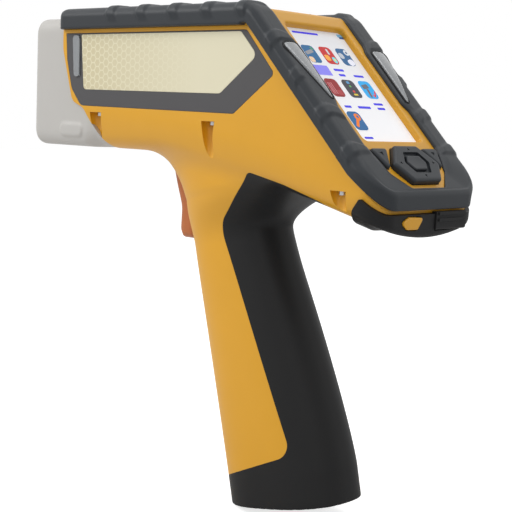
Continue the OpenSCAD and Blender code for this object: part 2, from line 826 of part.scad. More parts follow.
module detector_place() {
    translate([nose_x + 12, 0, window_z - 7]) rotate([0, 90 + detector_tilt, 0]) children();
}

module nose_block() {
    color(steel) difference() {
        translate([block_x[0], -block_y, block_z[0]])
            cube([block_x[1] - block_x[0], 2 * block_y, block_z[1] - block_z[0]]);
        translate([nose_x + 16, 0, tube_z]) rotate([0, 90, 0]) cylinder(r = tube_r + seam, h = 60);
        detector_place() cylinder(r = detector_r + seam, h = 60);
        window_place(0) cylinder(r = window_r, h = 20);
        button_place(0) cylinder(r = button_r + 1.6, h = nose_wall + 1 + 1.2 + 2.6);
        nose_screw_places() cylinder(r = screw_r + seam, h = nose_wall + 5);
    }
}

module xray_tube() {
    color("#c9ccd0") translate([nose_x + 16 + seam, 0, tube_z]) rotate([0, 90, 0]) {
        cylinder(r = tube_r, h = tube_l * 0.6);
        translate([0, 0, tube_l * 0.6 - eps]) cylinder(r = tube_r - 2, h = tube_l * 0.4);
    }
}

module detector() {
    color("#a9adb2") detector_place() translate([0, 0, seam]) {
        cylinder(r = detector_r, h = detector_l - 8);
        translate([0, 0, detector_l - 8 - eps]) cylinder(r = detector_r - 1.5, h = 8);
    }
}

chassis_end = -64;
chassis_y = 26;
chassis_z = under_z + wall + 0.1;
chassis_t = 2;
rib_x = nose_x + 34 + seam;

// A folded metal plate on the housing's floor; its upright carries the nose block
module chassis() {
    color(steel) {
        translate([rib_x, -chassis_y, chassis_z]) cube([chassis_end - rib_x, 2 * chassis_y, chassis_t]);
        translate([block_x[0] + 6, -block_y, block_z[0] - chassis_t - seam])
            cube([rib_x - block_x[0] - 6 + chassis_t, 2 * block_y, chassis_t]);
        translate([rib_x, -block_y, chassis_z])
            cube([chassis_t, 2 * block_y, block_z[0] - chassis_z - seam]);
    }
}

supply_x = [rib_x + 14, -68];
module hv_supply() {
    color("#30343a") difference() {
        translate([supply_x[0], -20, chassis_z + chassis_t])
            cube([supply_x[1] - supply_x[0], 40, tube_z - tube_r - 2 - chassis_z - chassis_t]);
        detector_place() cylinder(r = detector_r + 1, h = 80);
        translate([nose_x + 20, 0, tube_z]) rotate([0, 90, 0]) cylinder(r = tube_r + 1, h = 90);
    }
}

// ---- Side panels ----

module side_band(side) {
    y = [side_y - band_t, side_y];
    color(band_grey) difference() {
        on_side(side) across(band_outline(0), y[0], y[1]);
        on_side(side) across(label_outline(seam), side_y - label_t - 0.05, far);
        on_side(side) across(nose_lens_outline(seam), side_y - 0.6, far);
    }
}

module on_side(side) {
    mirror([0, side < 0 ? 1 : 0, 0]) children();
}

function label_outline(g) = rounded(grown([[seat_x + 14.5, band_top - 0.6, 1], [seat_x + 17, under_z + 29.5, 2],
    [brow_x - 18.9, under_z + 29, 4], [brow_x + 3.5, under_z + 46.5, 3], [brow_x - 6.9, band_top - 0.6, 3]],
    g), 4);
function nose_lens_outline(g) = rounded(grown([[seat_x + 8.5, band_top - 1, 2], [seat_x + 10, under_z + 36, 1.7],
    [seat_x + 14, under_z + 36, 1.7], [seat_x + 13.8, band_top - 1, 2]], g), 4);

module side_label(side) {
    color(cream) on_side(side) across(label_outline(0), side_y - label_t, side_y);
}

module nose_lens(side) {
    color("#b9c4cf", 0.6) on_side(side) across(nose_lens_outline(0), side_y - 0.5, side_y + 0.9);
}

module side_band_left() { side_band(-1); }
module side_band_right() { side_band(1); }
module side_label_left() { side_label(-1); }
module side_label_right() { side_label(1); }
module nose_lens_left() { nose_lens(-1); }
module nose_lens_right() { nose_lens(1); }

// ---- Display and keys ----

lens_u = [24, 56];                            // the status lens on the bumper, down the slope
lens_corners = [[lens_u[0], inner_y + 0.8, 2], [lens_u[1], inner_y + 0.6, 0.7], [lens_u[1], inner_y + 2.4, 0.7],
    [lens_u[0] + 12, inner_y + 6.3, 6], [lens_u[0], inner_y + 10, 2.5]];

module display_lens(side) {
    color("#b9c4cf", 0.6) on_side(side) on_face() slab(lens_corners, bumper_rise, bumper_rise + 0.9);
}
module display_lens_left() { display_lens(-1); }
module display_lens_right() { display_lens(1); }

module display_rect(margin, low, high) {
    on_face() translate([opening_u - margin, -opening_w / 2 - margin, low])
        cube([opening_l + 2 * margin, opening_w + 2 * margin, high - low]);
}

module display_glass() {
    color("#dfe3ea", 0.8) display_rect(glass_lap, -cover_wall - glass_t, -cover_wall - eps);
}

module lcd_module() {
    color("#202226") display_rect(glass_lap, frame_n, -cover_wall - glass_t);
}

module lcd_frame() {
    color(steel) on_face() {
        translate([opening_u - 4, -post_y - post_r, frame_n - frame_t])
            cube([post_u[1] - opening_u + 8, 2 * (post_y + post_r), frame_t]);
        for (u = [opening_u + 4, post_u[1] - 4], y = [-20, 20])
            translate([u, y, frame_n - frame_t - spacer_h]) cylinder(r = 2.5, h = spacer_h + eps);
    }
}

main_n = frame_n - frame_t - spacer_h - board_t;
module main_board() {
    color(board_green) on_face() {
        translate([opening_u, -26, main_n]) cube([post_u[1] - opening_u, 52, board_t]);
        for (u = [opening_u + 16, opening_u + 36])
            translate([u, -9, main_n + board_t - eps]) cube([14, 14, 1.6]);
    }
}

key_depth = 5;                                // how far the keys reach in below the face
nav_corners = [[-nav_u, -8.4, 2], [0.6, -nav_y, 2.5], [nav_u, -10.6, 2], [nav_u, 10.6, 2],
    [0.6, nav_y, 2.5], [-nav_u, 8.4, 2]];
key_corners = [[-nav_u + 0.6, 13.2, 1.2], [5.2, inner_y - 2.8, 1.5], [-nav_u + 0.6, inner_y - 0.9, 2]];
select_r = select_flat / 2 / cos(30);
ring_r = select_r + 1.8;                      // the sunk ring round the select key

// Down the slope to the keypad's middle, face up
module keypad_place() {
    on_face() translate([keypad_u, 0, 0]) children();
}

// A key with sloping upper edges, from its foot up to its rise
module key_cap(corners, rise) {
    slab(corners, -key_depth, rise - 1);
    slab(grown(corners, -0.5), rise - 1 - eps, rise - 0.4);
    slab(grown(corners, -1.1), rise - 0.4 - eps, rise);
}

module nav_pad() {
    color(charcoal) keypad_place() difference() {
        key_cap(nav_corners, nav_rise);
        translate([0, 0, nav_rise - 0.9]) cylinder(r = ring_r + 0.6, h = 3, $fn = 6);
        translate([0, 0, -9]) cylinder(r = select_r + key_gap, h = 20, $fn = 6);
        for (a = [0, 90, 180, 270])
            rotate(a) translate([a % 180 == 0 ? ring_r + 1.6 : ring_r + 3.4, 0, nav_rise - 0.3])
                cylinder(r = 0.7, h = 3);
    }
}

module select_key() {
    color(charcoal) keypad_place() {
        translate([0, 0, -key_depth]) cylinder(r = select_r, h = key_depth + nav_rise - 0.9, $fn = 6);
        translate([0, 0, nav_rise - 0.9 - eps]) cylinder(r = select_r - 0.7, h = 0.7, $fn = 6);
    }
}

module side_key(side) {
    color(charcoal) on_side(side) keypad_place() key_cap(key_corners, key_rise);
}
module left_key() { side_key(-1); }
module right_key() { side_key(1); }

pad_gap = key_travel + 0.2;                   // space under the keys for their travel
pad_y = side_y - cover_wall - 0.2;
module keypad_board() {
    color(board_green) keypad_place() difference() {
        translate([-nav_u - 0.4, -pad_y, -key_depth - pad_gap - board_t])
            cube([2 * nav_u + 1, 2 * pad_y, board_t]);
        both_sides() {
            translate([-nav_u - 2, pad_y - 7, -20]) cube([nav_u - 1, 20, 40]);
            translate([nav_u - 3.5, pad_y - 3, -20]) cube([9, 20, 40]);
        }
    }
}

// ---- Trigger ----

// The trigger's side view, with a hollowed front for the finger
trigger_outline = rounded([[pivot_x + 6, pivot_z + 4.5, 3], [pivot_x - 20, pivot_z + 1.5, 2.5],
    [pivot_x - 16.5, pivot_z - 8, 12], [pivot_x - 12.4, pivot_z - 19, 14], [pivot_x - 12.6, pivot_z - trigger_l + 4, 5],
    [pivot_x - 10.4, pivot_z - trigger_l, 1.5], [pivot_x - 3, pivot_z - trigger_l, 3],
    [pivot_x - 1.5, pivot_z - 12, 14], [pivot_x + 6, pivot_z - 5, 3]], 5);

module trigger() {
    color("#b5683f") difference() {
        union() {
            across(trigger_outline, -trigger_w / 2 + 1.2, trigger_w / 2 - 1.2);
            intersection() {
                across(trigger_outline, -trigger_w / 2, trigger_w / 2);
                across([for (q = trigger_outline) q + [0.9, 0]], -trigger_w / 2, trigger_w / 2);
            }
        }
        pivot_line(trigger_w + 2) cylinder(r = pin_r + pin_gap, h = trigger_w + 2);
    }
}

module pivot_line(length) {
    translate([pivot_x, length / 2, pivot_z]) rotate([90, 0, 0]) children();
}

pin_l = trigger_w + 16;
module trigger_pin() {
    color(steel) pivot_line(pin_l) cylinder(r = pin_r, h = pin_l);
}

module pin_holes() {
    pivot_line(pin_l + 0.4) cylinder(r = pin_r + 0.05, h = pin_l + 0.4);
}

switch_x = pivot_x + 9;
switch_z = [126, 144];
lever_l = 7;
module switch_space() {
    translate([switch_x - 1, -switch_w / 2 - seam, switch_z[0] - seam])
        cube([14.1 + seam, switch_w + 2 * seam, switch_z[1] - switch_z[0] + 2 * seam]);
}

// The switch behind the trigger, with its lever
module trigger_switch() {
    color("#26282b") {
        translate([switch_x, -switch_w / 2, switch_z[0]]) cube([13, switch_w, switch_z[1] - switch_z[0]]);
        translate([switch_x - lever_l, -2, switch_z[0] + 4]) cube([lever_l + eps, 4, 3]);
    }
}

// ---- Battery ----

function contact_outline(g) = grown([[well_p - 12, -8, 2], [well_p + 12, -8, 2], [well_p + 12, 8, 2],
    [well_p - 12, 8, 2]], g);

module battery_pack() {
    color("#2b2e33") in_handle() difference() {
        slab(well_outline(0), cap_t, cap_t + pack_h);
        for (y = [-5, 0, 5])
            translate([well_p - 8, y - 1, cap_t + pack_h - 0.6]) cube([16, 2, 3]);
    }
}

latch_p = [-20, -9];                          // the latch's span in the cap, front to back
latch_w = 14;
latch_t = 2.6;

// The cap under the battery: it closes the handle and is the foot that the analyzer stands on
module battery_cap() {
    color(rubber_black) in_handle() difference() {
        linear_extrude(height = cap_t) polygon(cap_outline(0));
        translate([latch_p[0] - 0.3, -latch_w / 2 - 0.3, -1])
            cube([latch_p[1] - latch_p[0] + latch_travel + 0.6, latch_w + 0.6, latch_t + 1.6]);
    }
}

module battery_latch() {
    color(band_grey) in_handle() difference() {
        translate([latch_p[0], -latch_w / 2, 0.4]) cube([latch_p[1] - latch_p[0], latch_w, latch_t]);
        for (i = [0:2])
            translate([latch_p[0] + 2.2 + i * 2.6, -latch_w / 2 + 1.5, -0.4]) cube([1.2, latch_w - 3, 1.4]);
    }
}

module contact_block() {
    h0 = cap_t + pack_h + 0.2;
    color("#c8a24a") in_handle() {
        slab(contact_outline(0), h0 + 1.6, well_top + 9 - seam);
        for (y = [-5, 0, 5]) translate([well_p - 5, y - 0.7, h0]) cube([10, 1.4, 1.6 + eps]);
    }
}

main_housing();
top_cover();
bumper();
grip();
nose_cover();
nose_plate();
window_film();
nose_screws();
proximity_button();
side_band_left();
side_band_right();
side_label_left();
side_label_right();
nose_lens_left();
nose_lens_right();
display_lens_left();
display_lens_right();
display_glass();
lcd_module();
lcd_frame();
main_board();
keypad_board();
nav_pad();
select_key();
left_key();
right_key();
tail_shroud();
port_block();
port_cover();
housing_screws();
nose_block();
xray_tube();
detector();
hv_supply();
chassis();
trigger();
trigger_pin();
trigger_switch();
battery_pack();
battery_cap();
battery_latch();
contact_block();
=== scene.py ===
"""Looks of a handheld XRF analyzer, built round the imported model.

Each sub-assembly is a class: its fields are sizes in millimetres, and its methods build meshes from
numpy grids, profiles carried along a path, or a smooth field sampled on a lattice. Every finish
is a frozen dataclass that builds one node material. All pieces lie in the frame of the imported
model.
"""
import sys

import json
import logging
import math
from dataclasses import dataclass, field
from enum import Enum
from typing import Callable, Sequence

import bpy
import numpy as np
from mathutils import Matrix, Vector


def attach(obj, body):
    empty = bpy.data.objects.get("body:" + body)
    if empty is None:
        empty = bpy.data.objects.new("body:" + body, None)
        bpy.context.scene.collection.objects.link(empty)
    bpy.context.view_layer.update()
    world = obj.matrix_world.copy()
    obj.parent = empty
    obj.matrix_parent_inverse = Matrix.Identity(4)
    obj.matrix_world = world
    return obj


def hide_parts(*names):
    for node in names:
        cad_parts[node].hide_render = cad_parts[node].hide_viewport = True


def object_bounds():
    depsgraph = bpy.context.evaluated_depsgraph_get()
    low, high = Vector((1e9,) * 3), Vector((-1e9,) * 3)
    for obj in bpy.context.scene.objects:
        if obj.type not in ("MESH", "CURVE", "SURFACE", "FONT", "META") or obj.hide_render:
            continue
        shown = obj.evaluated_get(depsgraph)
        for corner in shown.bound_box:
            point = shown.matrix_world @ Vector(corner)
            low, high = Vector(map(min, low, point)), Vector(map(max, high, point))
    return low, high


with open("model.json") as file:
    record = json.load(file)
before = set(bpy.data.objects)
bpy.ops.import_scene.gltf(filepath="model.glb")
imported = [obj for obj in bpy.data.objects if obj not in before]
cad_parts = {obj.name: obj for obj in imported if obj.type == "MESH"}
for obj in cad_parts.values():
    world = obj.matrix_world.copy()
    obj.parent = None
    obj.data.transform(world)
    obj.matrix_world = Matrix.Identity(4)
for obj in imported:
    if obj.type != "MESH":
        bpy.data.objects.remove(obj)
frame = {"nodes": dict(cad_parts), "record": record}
CAD_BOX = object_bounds()

LOG = logging.getLogger("analyzer")
MM = 0.001
Array = np.ndarray
Field = Callable[[Array, Array, Array], Array]


# ---------------------------------------------------------------------------------------------
# Meshes
# ---------------------------------------------------------------------------------------------

def smooth_max(a: Array, b: Array, width: float) -> Array:
    """The larger of two fields, with the corner between them rounded over a width.

    Args:
        a: First field.
        b: Second field.
        width: Band of |a - b| over which the two run together, in mm.

    Returns:
        max(a, b) plus a quarter of the width times the squared share of the band that is left.
    """
    share = np.maximum(width - np.abs(a - b), 0.0) / width
    return np.maximum(a, b) + share * share * width * 0.25


def smooth_min(a: Array, b: Array, width: float) -> Array:
    """The smaller of two fields, with a fillet of that width where they meet."""
    return -smooth_max(-a, -b, width)


def smooth_step(low: float, high: float, x: Array) -> Array:
    """0 below low, 1 above high, and 3t^2 - 2t^3 between them."""
    t = np.clip((np.asarray(x, float) - low) / (high - low), 0.0, 1.0)
    return t * t * (3.0 - 2.0 * t)


def rounded(corners: Sequence[Sequence[float]], steps: int = 6) -> Array:
    """The outline through corners [x, y, radius], with an arc of steps + 1 points at each radius.

    Args:
        corners: Corner points in order, each with its radius, 0 for a sharp one.
        steps: Chords in each arc.

    Returns:
        An (n, 2) array of points.
    """
    out: list[Array] = []
    count = len(corners)
    for i, (x, y, radius) in enumerate(corners):
        p = np.array([x, y], float)
        before = np.array(corners[i - 1][:2], float)
        after = np.array(corners[(i + 1) % count][:2], float)
        if radius <= 0:
            out.append(p[None])
            continue
        u = (before - p) / np.linalg.norm(before - p)
        v = (after - p) / np.linalg.norm(after - p)
        half = math.acos(float(np.clip(u @ v, -1, 1))) / 2
        centre = p + (u + v) / np.linalg.norm(u + v) * radius / math.sin(half)
        start = p + u * radius / math.tan(half) - centre
        turn = -1.0 if u[0] * v[1] - u[1] * v[0] > 0 else 1.0
        angle = turn * (math.pi - 2 * half) * np.linspace(0, 1, steps + 1)
        c, s = np.cos(angle), np.sin(angle)
        out.append(centre + np.stack([start[0] * c - start[1] * s, start[0] * s + start[1] * c], 1))
    return np.concatenate(out)


def grid_faces(rows: int, columns: int, closed_rows: bool = False,
               closed_columns: bool = True) -> Array:
    """Quads between neighbouring rows and columns of a grid of points.

    Args:
        rows: Number of rows.
        columns: Points in each row.
        closed_rows: Whether the last row joins the first.
        closed_columns: Whether each row is a closed ring.

    Returns:
        A (k, 4) array of point numbers.
    """
    i = np.arange(rows if closed_rows else rows - 1)
    j = np.arange(columns if closed_columns else columns - 1)
    i, j = np.meshgrid(i, j, indexing="ij")
    a, b = i * columns, ((i + 1) % rows) * columns
    k = (j + 1) % columns
    return np.stack([a + j, a + k, b + k, b + j], -1).reshape(-1, 4)


def add_object(name: str, mesh: bpy.types.Mesh) -> bpy.types.Object:
    """Links a new object for the mesh into the scene.

    Args:
        name: the piece's name.
        mesh: its mesh.

    Returns:
        The new object.
    """
    obj = bpy.data.objects.new(name, mesh)
    bpy.context.scene.collection.objects.link(obj)
    return obj


def solid(name: str, points: Array, faces: Sequence[Sequence[int]]) -> bpy.types.Object:
    """A mesh object from points in millimetres, with its faces turned outwards.

    Args:
        name: Name of the object.
        points: (n, 3) array.
        faces: Point numbers of each face.

    Returns:
        The new object, which lies in metres.
    """
    mesh = bpy.data.meshes.new(name)
    mesh.from_pydata((np.asarray(points, float) * MM).tolist(), [],
                     [list(map(int, f)) for f in faces])
    mesh.validate()
    mesh.update()
    return add_object(name, mesh)


def sweep(name: str, rings: Array, caps: bool = True, closed: bool = False) -> bpy.types.Object:
    """A closed solid through rings of points.

    Args:
        name: Name of the object.
        rings: (rows, columns, 3) array, each ring closed.
        caps: Whether the first and last rings are closed by a face.
        closed: Whether the last ring joins the first.

    Returns:
        The new object.
    """
    rows, columns = rings.shape[:2]
    faces = grid_faces(rows, columns, closed_rows=closed).tolist()
    if caps and not closed:
        faces.append(list(range(columns))[::-1])
        faces.append([(rows - 1) * columns + i for i in range(columns)])
    obj = solid(name, rings.reshape(-1, 3), faces)
    face_outwards(obj)
    return obj


def face_outwards(obj: bpy.types.Object) -> None:
    """Turns every face of a closed mesh the right way: by its signed volume.

    Args:
        obj: a closed mesh whose faces agree with each other.
    """
    mesh = obj.data
    mesh.calc_loop_triangles()
    corners = np.empty(len(mesh.loop_triangles) * 3, np.int32)
    mesh.loop_triangles.foreach_get("vertices", corners)
    place = np.empty(len(mesh.vertices) * 3, np.float32)
    mesh.vertices.foreach_get("co", place)
    tri = place.reshape(-1, 3)[corners.reshape(-1, 3)].astype(float)
    if np.einsum("ij,ij->i", tri[:, 0], np.cross(tri[:, 1], tri[:, 2])).sum() < 0:
        mesh.flip_normals()


def prism(name: str, outline: Array, low: float, high: float,
          lay: Callable[[Array, float], Array]) -> bpy.types.Object:
    """A straight solid over an outline.

    Args:
        name: Name of the object.
        outline: (n, 2) array.
        low: Height of its lower end.
        high: Height of its upper end.
        lay: Places the outline's points at a height.

    Returns:
        The new object.
    """
    outline = np.asarray(outline, float)
    return sweep(name, np.stack([lay(outline, low), lay(outline, high)]))


def on_side_view(q: Array, y: float) -> Array:
    """Points [x, z] of the side view, at that y."""
    return np.stack([q[:, 0], np.full(len(q), y), q[:, 1]], 1)


def carve(target: bpy.types.Object, tool: bpy.types.Object, operation: str = "DIFFERENCE") -> None:
    """Cuts the tool out of the target, or keeps what both hold, and deletes the tool.

    Args:
        target: the solid that is changed.
        tool: the solid that cuts. It is gone afterwards.
        operation: DIFFERENCE to cut out, INTERSECT to keep what both hold.
    """
    cut = target.modifiers.new("cut", "BOOLEAN")
    cut.object = tool
    cut.operation = operation
    cut.solver = "MANIFOLD"
    graph = bpy.context.evaluated_depsgraph_get()
    mesh = bpy.data.meshes.new_from_object(target.evaluated_get(graph))
    target.modifiers.clear()
    target.data = mesh
    bpy.data.objects.remove(tool)
    LOG.info("%s: %s leaves %d faces", target.name, operation.lower(), len(mesh.polygons))


def join(objects: Sequence[bpy.types.Object]) -> bpy.types.Object:
    """One object with the meshes of several that don't touch.

    Args:
        objects: meshes that don't touch. They are gone afterwards.

    Returns:
        One object, under the first one's name.
    """
    points: list[Array] = []
    faces: list[list[int]] = []
    start = 0
    for obj in objects:
        place = np.empty(len(obj.data.vertices) * 3, np.float32)
        obj.data.vertices.foreach_get("co", place)
        points.append(place.reshape(-1, 3))
        faces += [[start + v for v in p.vertices] for p in obj.data.polygons]
        start += len(obj.data.vertices)
    name = objects[0].name
    for obj in objects:
        bpy.data.objects.remove(obj)
    return solid(name, np.concatenate(points) / MM, faces)


def mirrored(points: Array) -> Array:
    """The same points on the other side of the XZ plane."""
    return points * np.array([1.0, -1.0, 1.0])


def finish_piece(obj: bpy.types.Object, body: str, finish: "Finish", replaced: Sequence[str] = (),
                 sharp_deg: float = 32.0) -> bpy.types.Object:
    """Shades, dresses and hands over one piece.

    Args:
        obj: The piece.
        body: The body that it moves with.
        finish: Its finish.
        replaced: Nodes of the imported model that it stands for.
        sharp_deg: Edges that bend more than this stay sharp.

    Returns:
        The same object.
    """
    mesh = obj.data
    mesh.polygons.foreach_set("use_smooth", np.ones(len(mesh.polygons), bool))
    mesh.set_sharp_from_angle(angle=math.radians(sharp_deg))
    mesh.materials.clear()
    mesh.materials.append(finish.material())
    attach(obj, body)
    if replaced:
        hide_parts(*replaced)
    LOG.info("%s: %d faces on %s", obj.name, len(mesh.polygons), body)
    return obj


# ---------------------------------------------------------------------------------------------
# A smooth field made into a mesh
# ---------------------------------------------------------------------------------------------

CORNERS = np.array([[i, j, k] for i in (0, 1) for j in (0, 1) for k in (0, 1)])
EDGES = [(a, b) for a in range(8) for b in range(a + 1,
                                                 8) if np.abs(CORNERS[a] - CORNERS[b]).sum() == 1]


def net(value: Field, low: Sequence[float], high: Sequence[float], step: float) -> tuple[Array,
                                                                                         Array]:
    """Quads over the zero level of a field, with one point in each cell that the surface crosses.

    A cell's point is the mean of the places where the surface crosses its edges. It then slides
    down the field's slope onto the zero level itself. The field counts as positive at the
    lattice's rim, so the mesh is closed.

    Args:
        value: The field: negative inside, and near a distance in mm.
        low: Lowest corner of the lattice.
        high: Highest corner.
        step: Size of a cell.

    Returns:
        The (n, 3) points and the (k, 4) faces.
    """
    origin = np.array(low, float)
    lines = [np.arange(a, b + step, step) for a, b in zip(low, high)]
    f = value(*np.meshgrid(*lines, indexing="ij", sparse=True)).astype(np.float32)
    f = np.broadcast_to(f, [len(line) for line in lines]).copy()
    for axis in range(3):
        rim = [slice(None)] * 3
        for end in (0, -1):
            rim[axis] = end
            f[tuple(rim)] = np.maximum(f[tuple(rim)], 0.3)
    inside = f < 0
    size = np.array(f.shape) - 1
    count = np.zeros(size, np.int8)
    for c in CORNERS:
        count += inside[c[0]:c[0] + size[0], c[1]:c[1] + size[1], c[2]:c[2] + size[2]]
    active = (count > 0) & (count < 8)
    number = np.full(size, -1, np.int64)
    cells = np.argwhere(active)
    number[active] = np.arange(len(cells))
    levels = [f[tuple((cells + c).T)] for c in CORNERS]
    total = np.zeros((len(cells), 3))
    hits = np.zeros((len(cells), 1))
    for a, b in EDGES:
        fa, fb = levels[a], levels[b]
        crossed = (fa < 0) != (fb < 0)
        t = np.where(crossed, fa / np.where(crossed, fa - fb, 1.0), 0.0)
        total += np.where(crossed[:, None], CORNERS[a] + t[:, None] * (CORNERS[b] - CORNERS[a]),
                          0.0)
        hits += crossed[:, None]
    points = origin + step * (cells + total / hits)
    faces = []
    for axis in range(3):
        second, third = (axis + 1) % 3, (axis + 2) % 3
        before, after = [slice(1, -1)] * 3, [slice(1, -1)] * 3
        before[axis], after[axis] = slice(0, -1), slice(1, None)
        change = np.argwhere(inside[tuple(before)] != inside[tuple(after)])
        cell = change.copy()
        cell[:, second] += 1
        cell[:, third] += 1
        ring = []
        for back_second, back_third in ((1, 1), (0, 1), (0, 0), (1, 0)):
            c = cell.copy()
            c[:, second] -= back_second
            c[:, third] -= back_third
            ring.append(number[tuple(c.T)])
        quads = np.stack(ring, 1)
        outward = inside[tuple(before)][tuple(change.T)]
        quads[~outward] = quads[~outward][:, ::-1]
        faces.append(quads)
    return slide_onto(value, points), np.concatenate(faces)


def slide_onto(value: Field, points: Array, rounds: int = 3, reach: float = 0.05) -> Array:
    """Moves points along the field's slope until they lie on its zero level.

    Args:
        value: the field.
        points: the points to move.
        rounds: how many steps each point takes.
        reach: half the distance over which the slope is measured.

    Returns:
        The moved points.
    """
    for _ in range(rounds):
        slope = np.stack([(value(*(points + reach * e).T) - value(*(points - reach * e).T))
                          / (2 * reach)
                          for e in np.eye(3)], 1)
        strength = np.maximum((slope ** 2).sum(1, keepdims=True), 0.05)
        move = value(*points.T)[:, None] * slope / strength
        points = points - np.clip(move, -0.4, 0.4)
    return points


# ---------------------------------------------------------------------------------------------
# Finishes
# ---------------------------------------------------------------------------------------------

class Nodes:
    """A short way to add and join the nodes of one material."""

    def __init__(self, material: bpy.types.Material) -> None:
        """Empties the material's node tree.

        Args:
            material: the material that gets the new nodes.
        """
        material.use_nodes = True
        self.tree = material.node_tree
        self.tree.nodes.clear()

    def add(self, kind: str, **inputs: object) -> bpy.types.Node:
        """Adds a node. Names with a capital set its sockets, and others its properties.

        Args:
            kind: The node's type, without its ShaderNode prefix.
            **inputs: Values or sockets. An underscore stands for a blank.

        Returns:
            The new node.
        """
        node = self.tree.nodes.new("ShaderNode" + kind)
        for key, value in inputs.items():
            if key[0].isupper():
                socket = node.inputs[key.replace("_", " ")]
                if isinstance(value, bpy.types.NodeSocket):
                    self.tree.links.new(value, socket)
                else:
                    socket.default_value = value
            else:
                setattr(node, key, value)
        return node

    def math(self, operation: str, a: object, b: object = 0.0) -> bpy.types.NodeSocket:
        """One arithmetic step on two values or sockets.

        Args:
            operation: the name of the step, as Blender writes it.
            a, b: its two inputs, each a number or a socket.

        Returns:
            The socket with the result.
        """
        node = self.tree.nodes.new("ShaderNodeMath")
        node.operation = operation
        for i, value in enumerate((a, b)):
            if isinstance(value, bpy.types.NodeSocket):
                self.tree.links.new(value, node.inputs[i])
            else:
                node.inputs[i].default_value = float(value)
        return node.outputs[0]

    def blend(self, share: object, a: object, b: object) -> bpy.types.NodeSocket:
        """A colour between a and b.

        Args:
            share: how much of b, as a number or a socket.
            a, b: the two colours, each written out or a socket.

        Returns:
            The socket with the colour.
        """
        node = self.tree.nodes.new("ShaderNodeMix")
        node.data_type = "RGBA"
        for index, value in ((0, share), (6, a), (7, b)):
            if isinstance(value, bpy.types.NodeSocket):
                self.tree.links.new(value, node.inputs[index])
            else:
                node.inputs[index].default_value = value
        return node.outputs[2]


def rgba(colour: Sequence[float], gain: float = 1.0) -> tuple[float, float, float, float]:
    """A colour with full cover, made lighter or darker by a gain."""
    return (colour[0] * gain, colour[1] * gain, colour[2] * gain, 1.0)


@dataclass(frozen=True)
class Finish:
    """A moulded or machined surface: one colour that drifts a little, fine grain and soft edges.

    Attributes:
        slot: The record's material slot.
        colour: Linear colour.
        rough: Roughness.
        metal: 1 for bare metal.
        drift: How far the colour drifts over the piece.
        grain: Size of the surface's grain, in mm.
        relief: Height of the grain, in mm.
        edge: Radius that edges seem to have, in mm.
        coat: Weight of the clear layer.
        sheen: Weight of the soft rim light of rubber.
        wear: How much lighter rubbed edges are.
        gloss: Strength of the plain reflection, 0.5 for most plastics.
    """

    slot: str
    colour: tuple[float, float, float]
    rough: float = 0.5
    metal: float = 0.0
    drift: float = 0.06
    grain: float = 0.5
    relief: float = 0.01
    edge: float = 0.35
    coat: float = 0.0
    sheen: float = 0.0
    wear: float = 0.0
    gloss: float = 0.5

    def material(self) -> bpy.types.Material:
        """The finish's material, built once."""
        found = bpy.data.materials.get("finish_" + self.slot)
        return found if found else self.build("finish_" + self.slot)

    def build(self, name: str) -> bpy.types.Material:
        """Builds the node tree: drifting colour, and grain over rounded edges.

        Args:
            name: the material's name.

        Returns:
            The material.
        """
        material = bpy.data.materials.new(name)
        nodes = Nodes(material)
        place = nodes.add("TexCoord").outputs["Object"]
        shader = self.shader(nodes, self.tint(nodes, place), self.surface(nodes, place))
        nodes.add("OutputMaterial", Surface=shader.outputs[0])
        return material

    def tint(self, nodes: Nodes, place: bpy.types.NodeSocket) -> bpy.types.NodeSocket:
        """The colour: cloudy drift at the scale of centimetres, and lighter rubbed edges.

        Args:
            nodes: the material's node tree.
            place: the object coordinates.

        Returns:
            The socket with the colour.
        """
        cloud = nodes.add("TexNoise", Vector=place, Scale=45.0, Detail=3.0, Roughness=0.55)
        colour = nodes.blend(cloud.outputs[0], rgba(self.colour, 1 - self.drift),
                             rgba(self.colour, 1 + self.drift))
        if self.wear > 0:
            rim = nodes.add("NewGeometry").outputs["Pointiness"]
            share = nodes.add("MapRange", Value=rim, From_Min=0.52, From_Max=0.6, To_Max=self.wear)
            colour = nodes.blend(share.outputs[0], colour, rgba(self.colour, 1.8))
        return colour

    def surface(self, nodes: Nodes, place: bpy.types.NodeSocket) -> bpy.types.NodeSocket:
        """The normal: fine grain over edges that catch the light as a small radius does.

        Args:
            nodes: the material's node tree.
            place: the object coordinates.

        Returns:
            The socket with the normal.
        """
        grain = nodes.add("TexNoise", Vector=place, Scale=1000.0 / self.grain, Detail=2.0)
        soft = nodes.add("Bevel", samples=4, Radius=self.edge * MM)
        bump = nodes.add("Bump", Strength=1.0, Distance=self.relief * MM, Height=grain.outputs[0],
                         Normal=soft.outputs[0])
        return bump.outputs[0]

    def shader(self, nodes: Nodes, colour: bpy.types.NodeSocket,
               normal: bpy.types.NodeSocket) -> bpy.types.Node:
        """The shader, with what is the same all over on its own sockets.

        Args:
            nodes: the material's node tree.
            colour: the colour, as tint made it.
            normal: the normal, as surface made it.

        Returns:
            The shader's node.
        """
        node = nodes.add("BsdfPrincipled", Base_Color=colour, Normal=normal, Metallic=self.metal,
                         Roughness=self.rough)
        node.inputs["Coat Weight"].default_value = self.coat
        node.inputs["Coat Roughness"].default_value = 0.25
        node.inputs["Specular IOR Level"].default_value = self.gloss
        node.inputs["Sheen Weight"].default_value = self.sheen
        node.inputs["Sheen Roughness"].default_value = 0.45
        return node


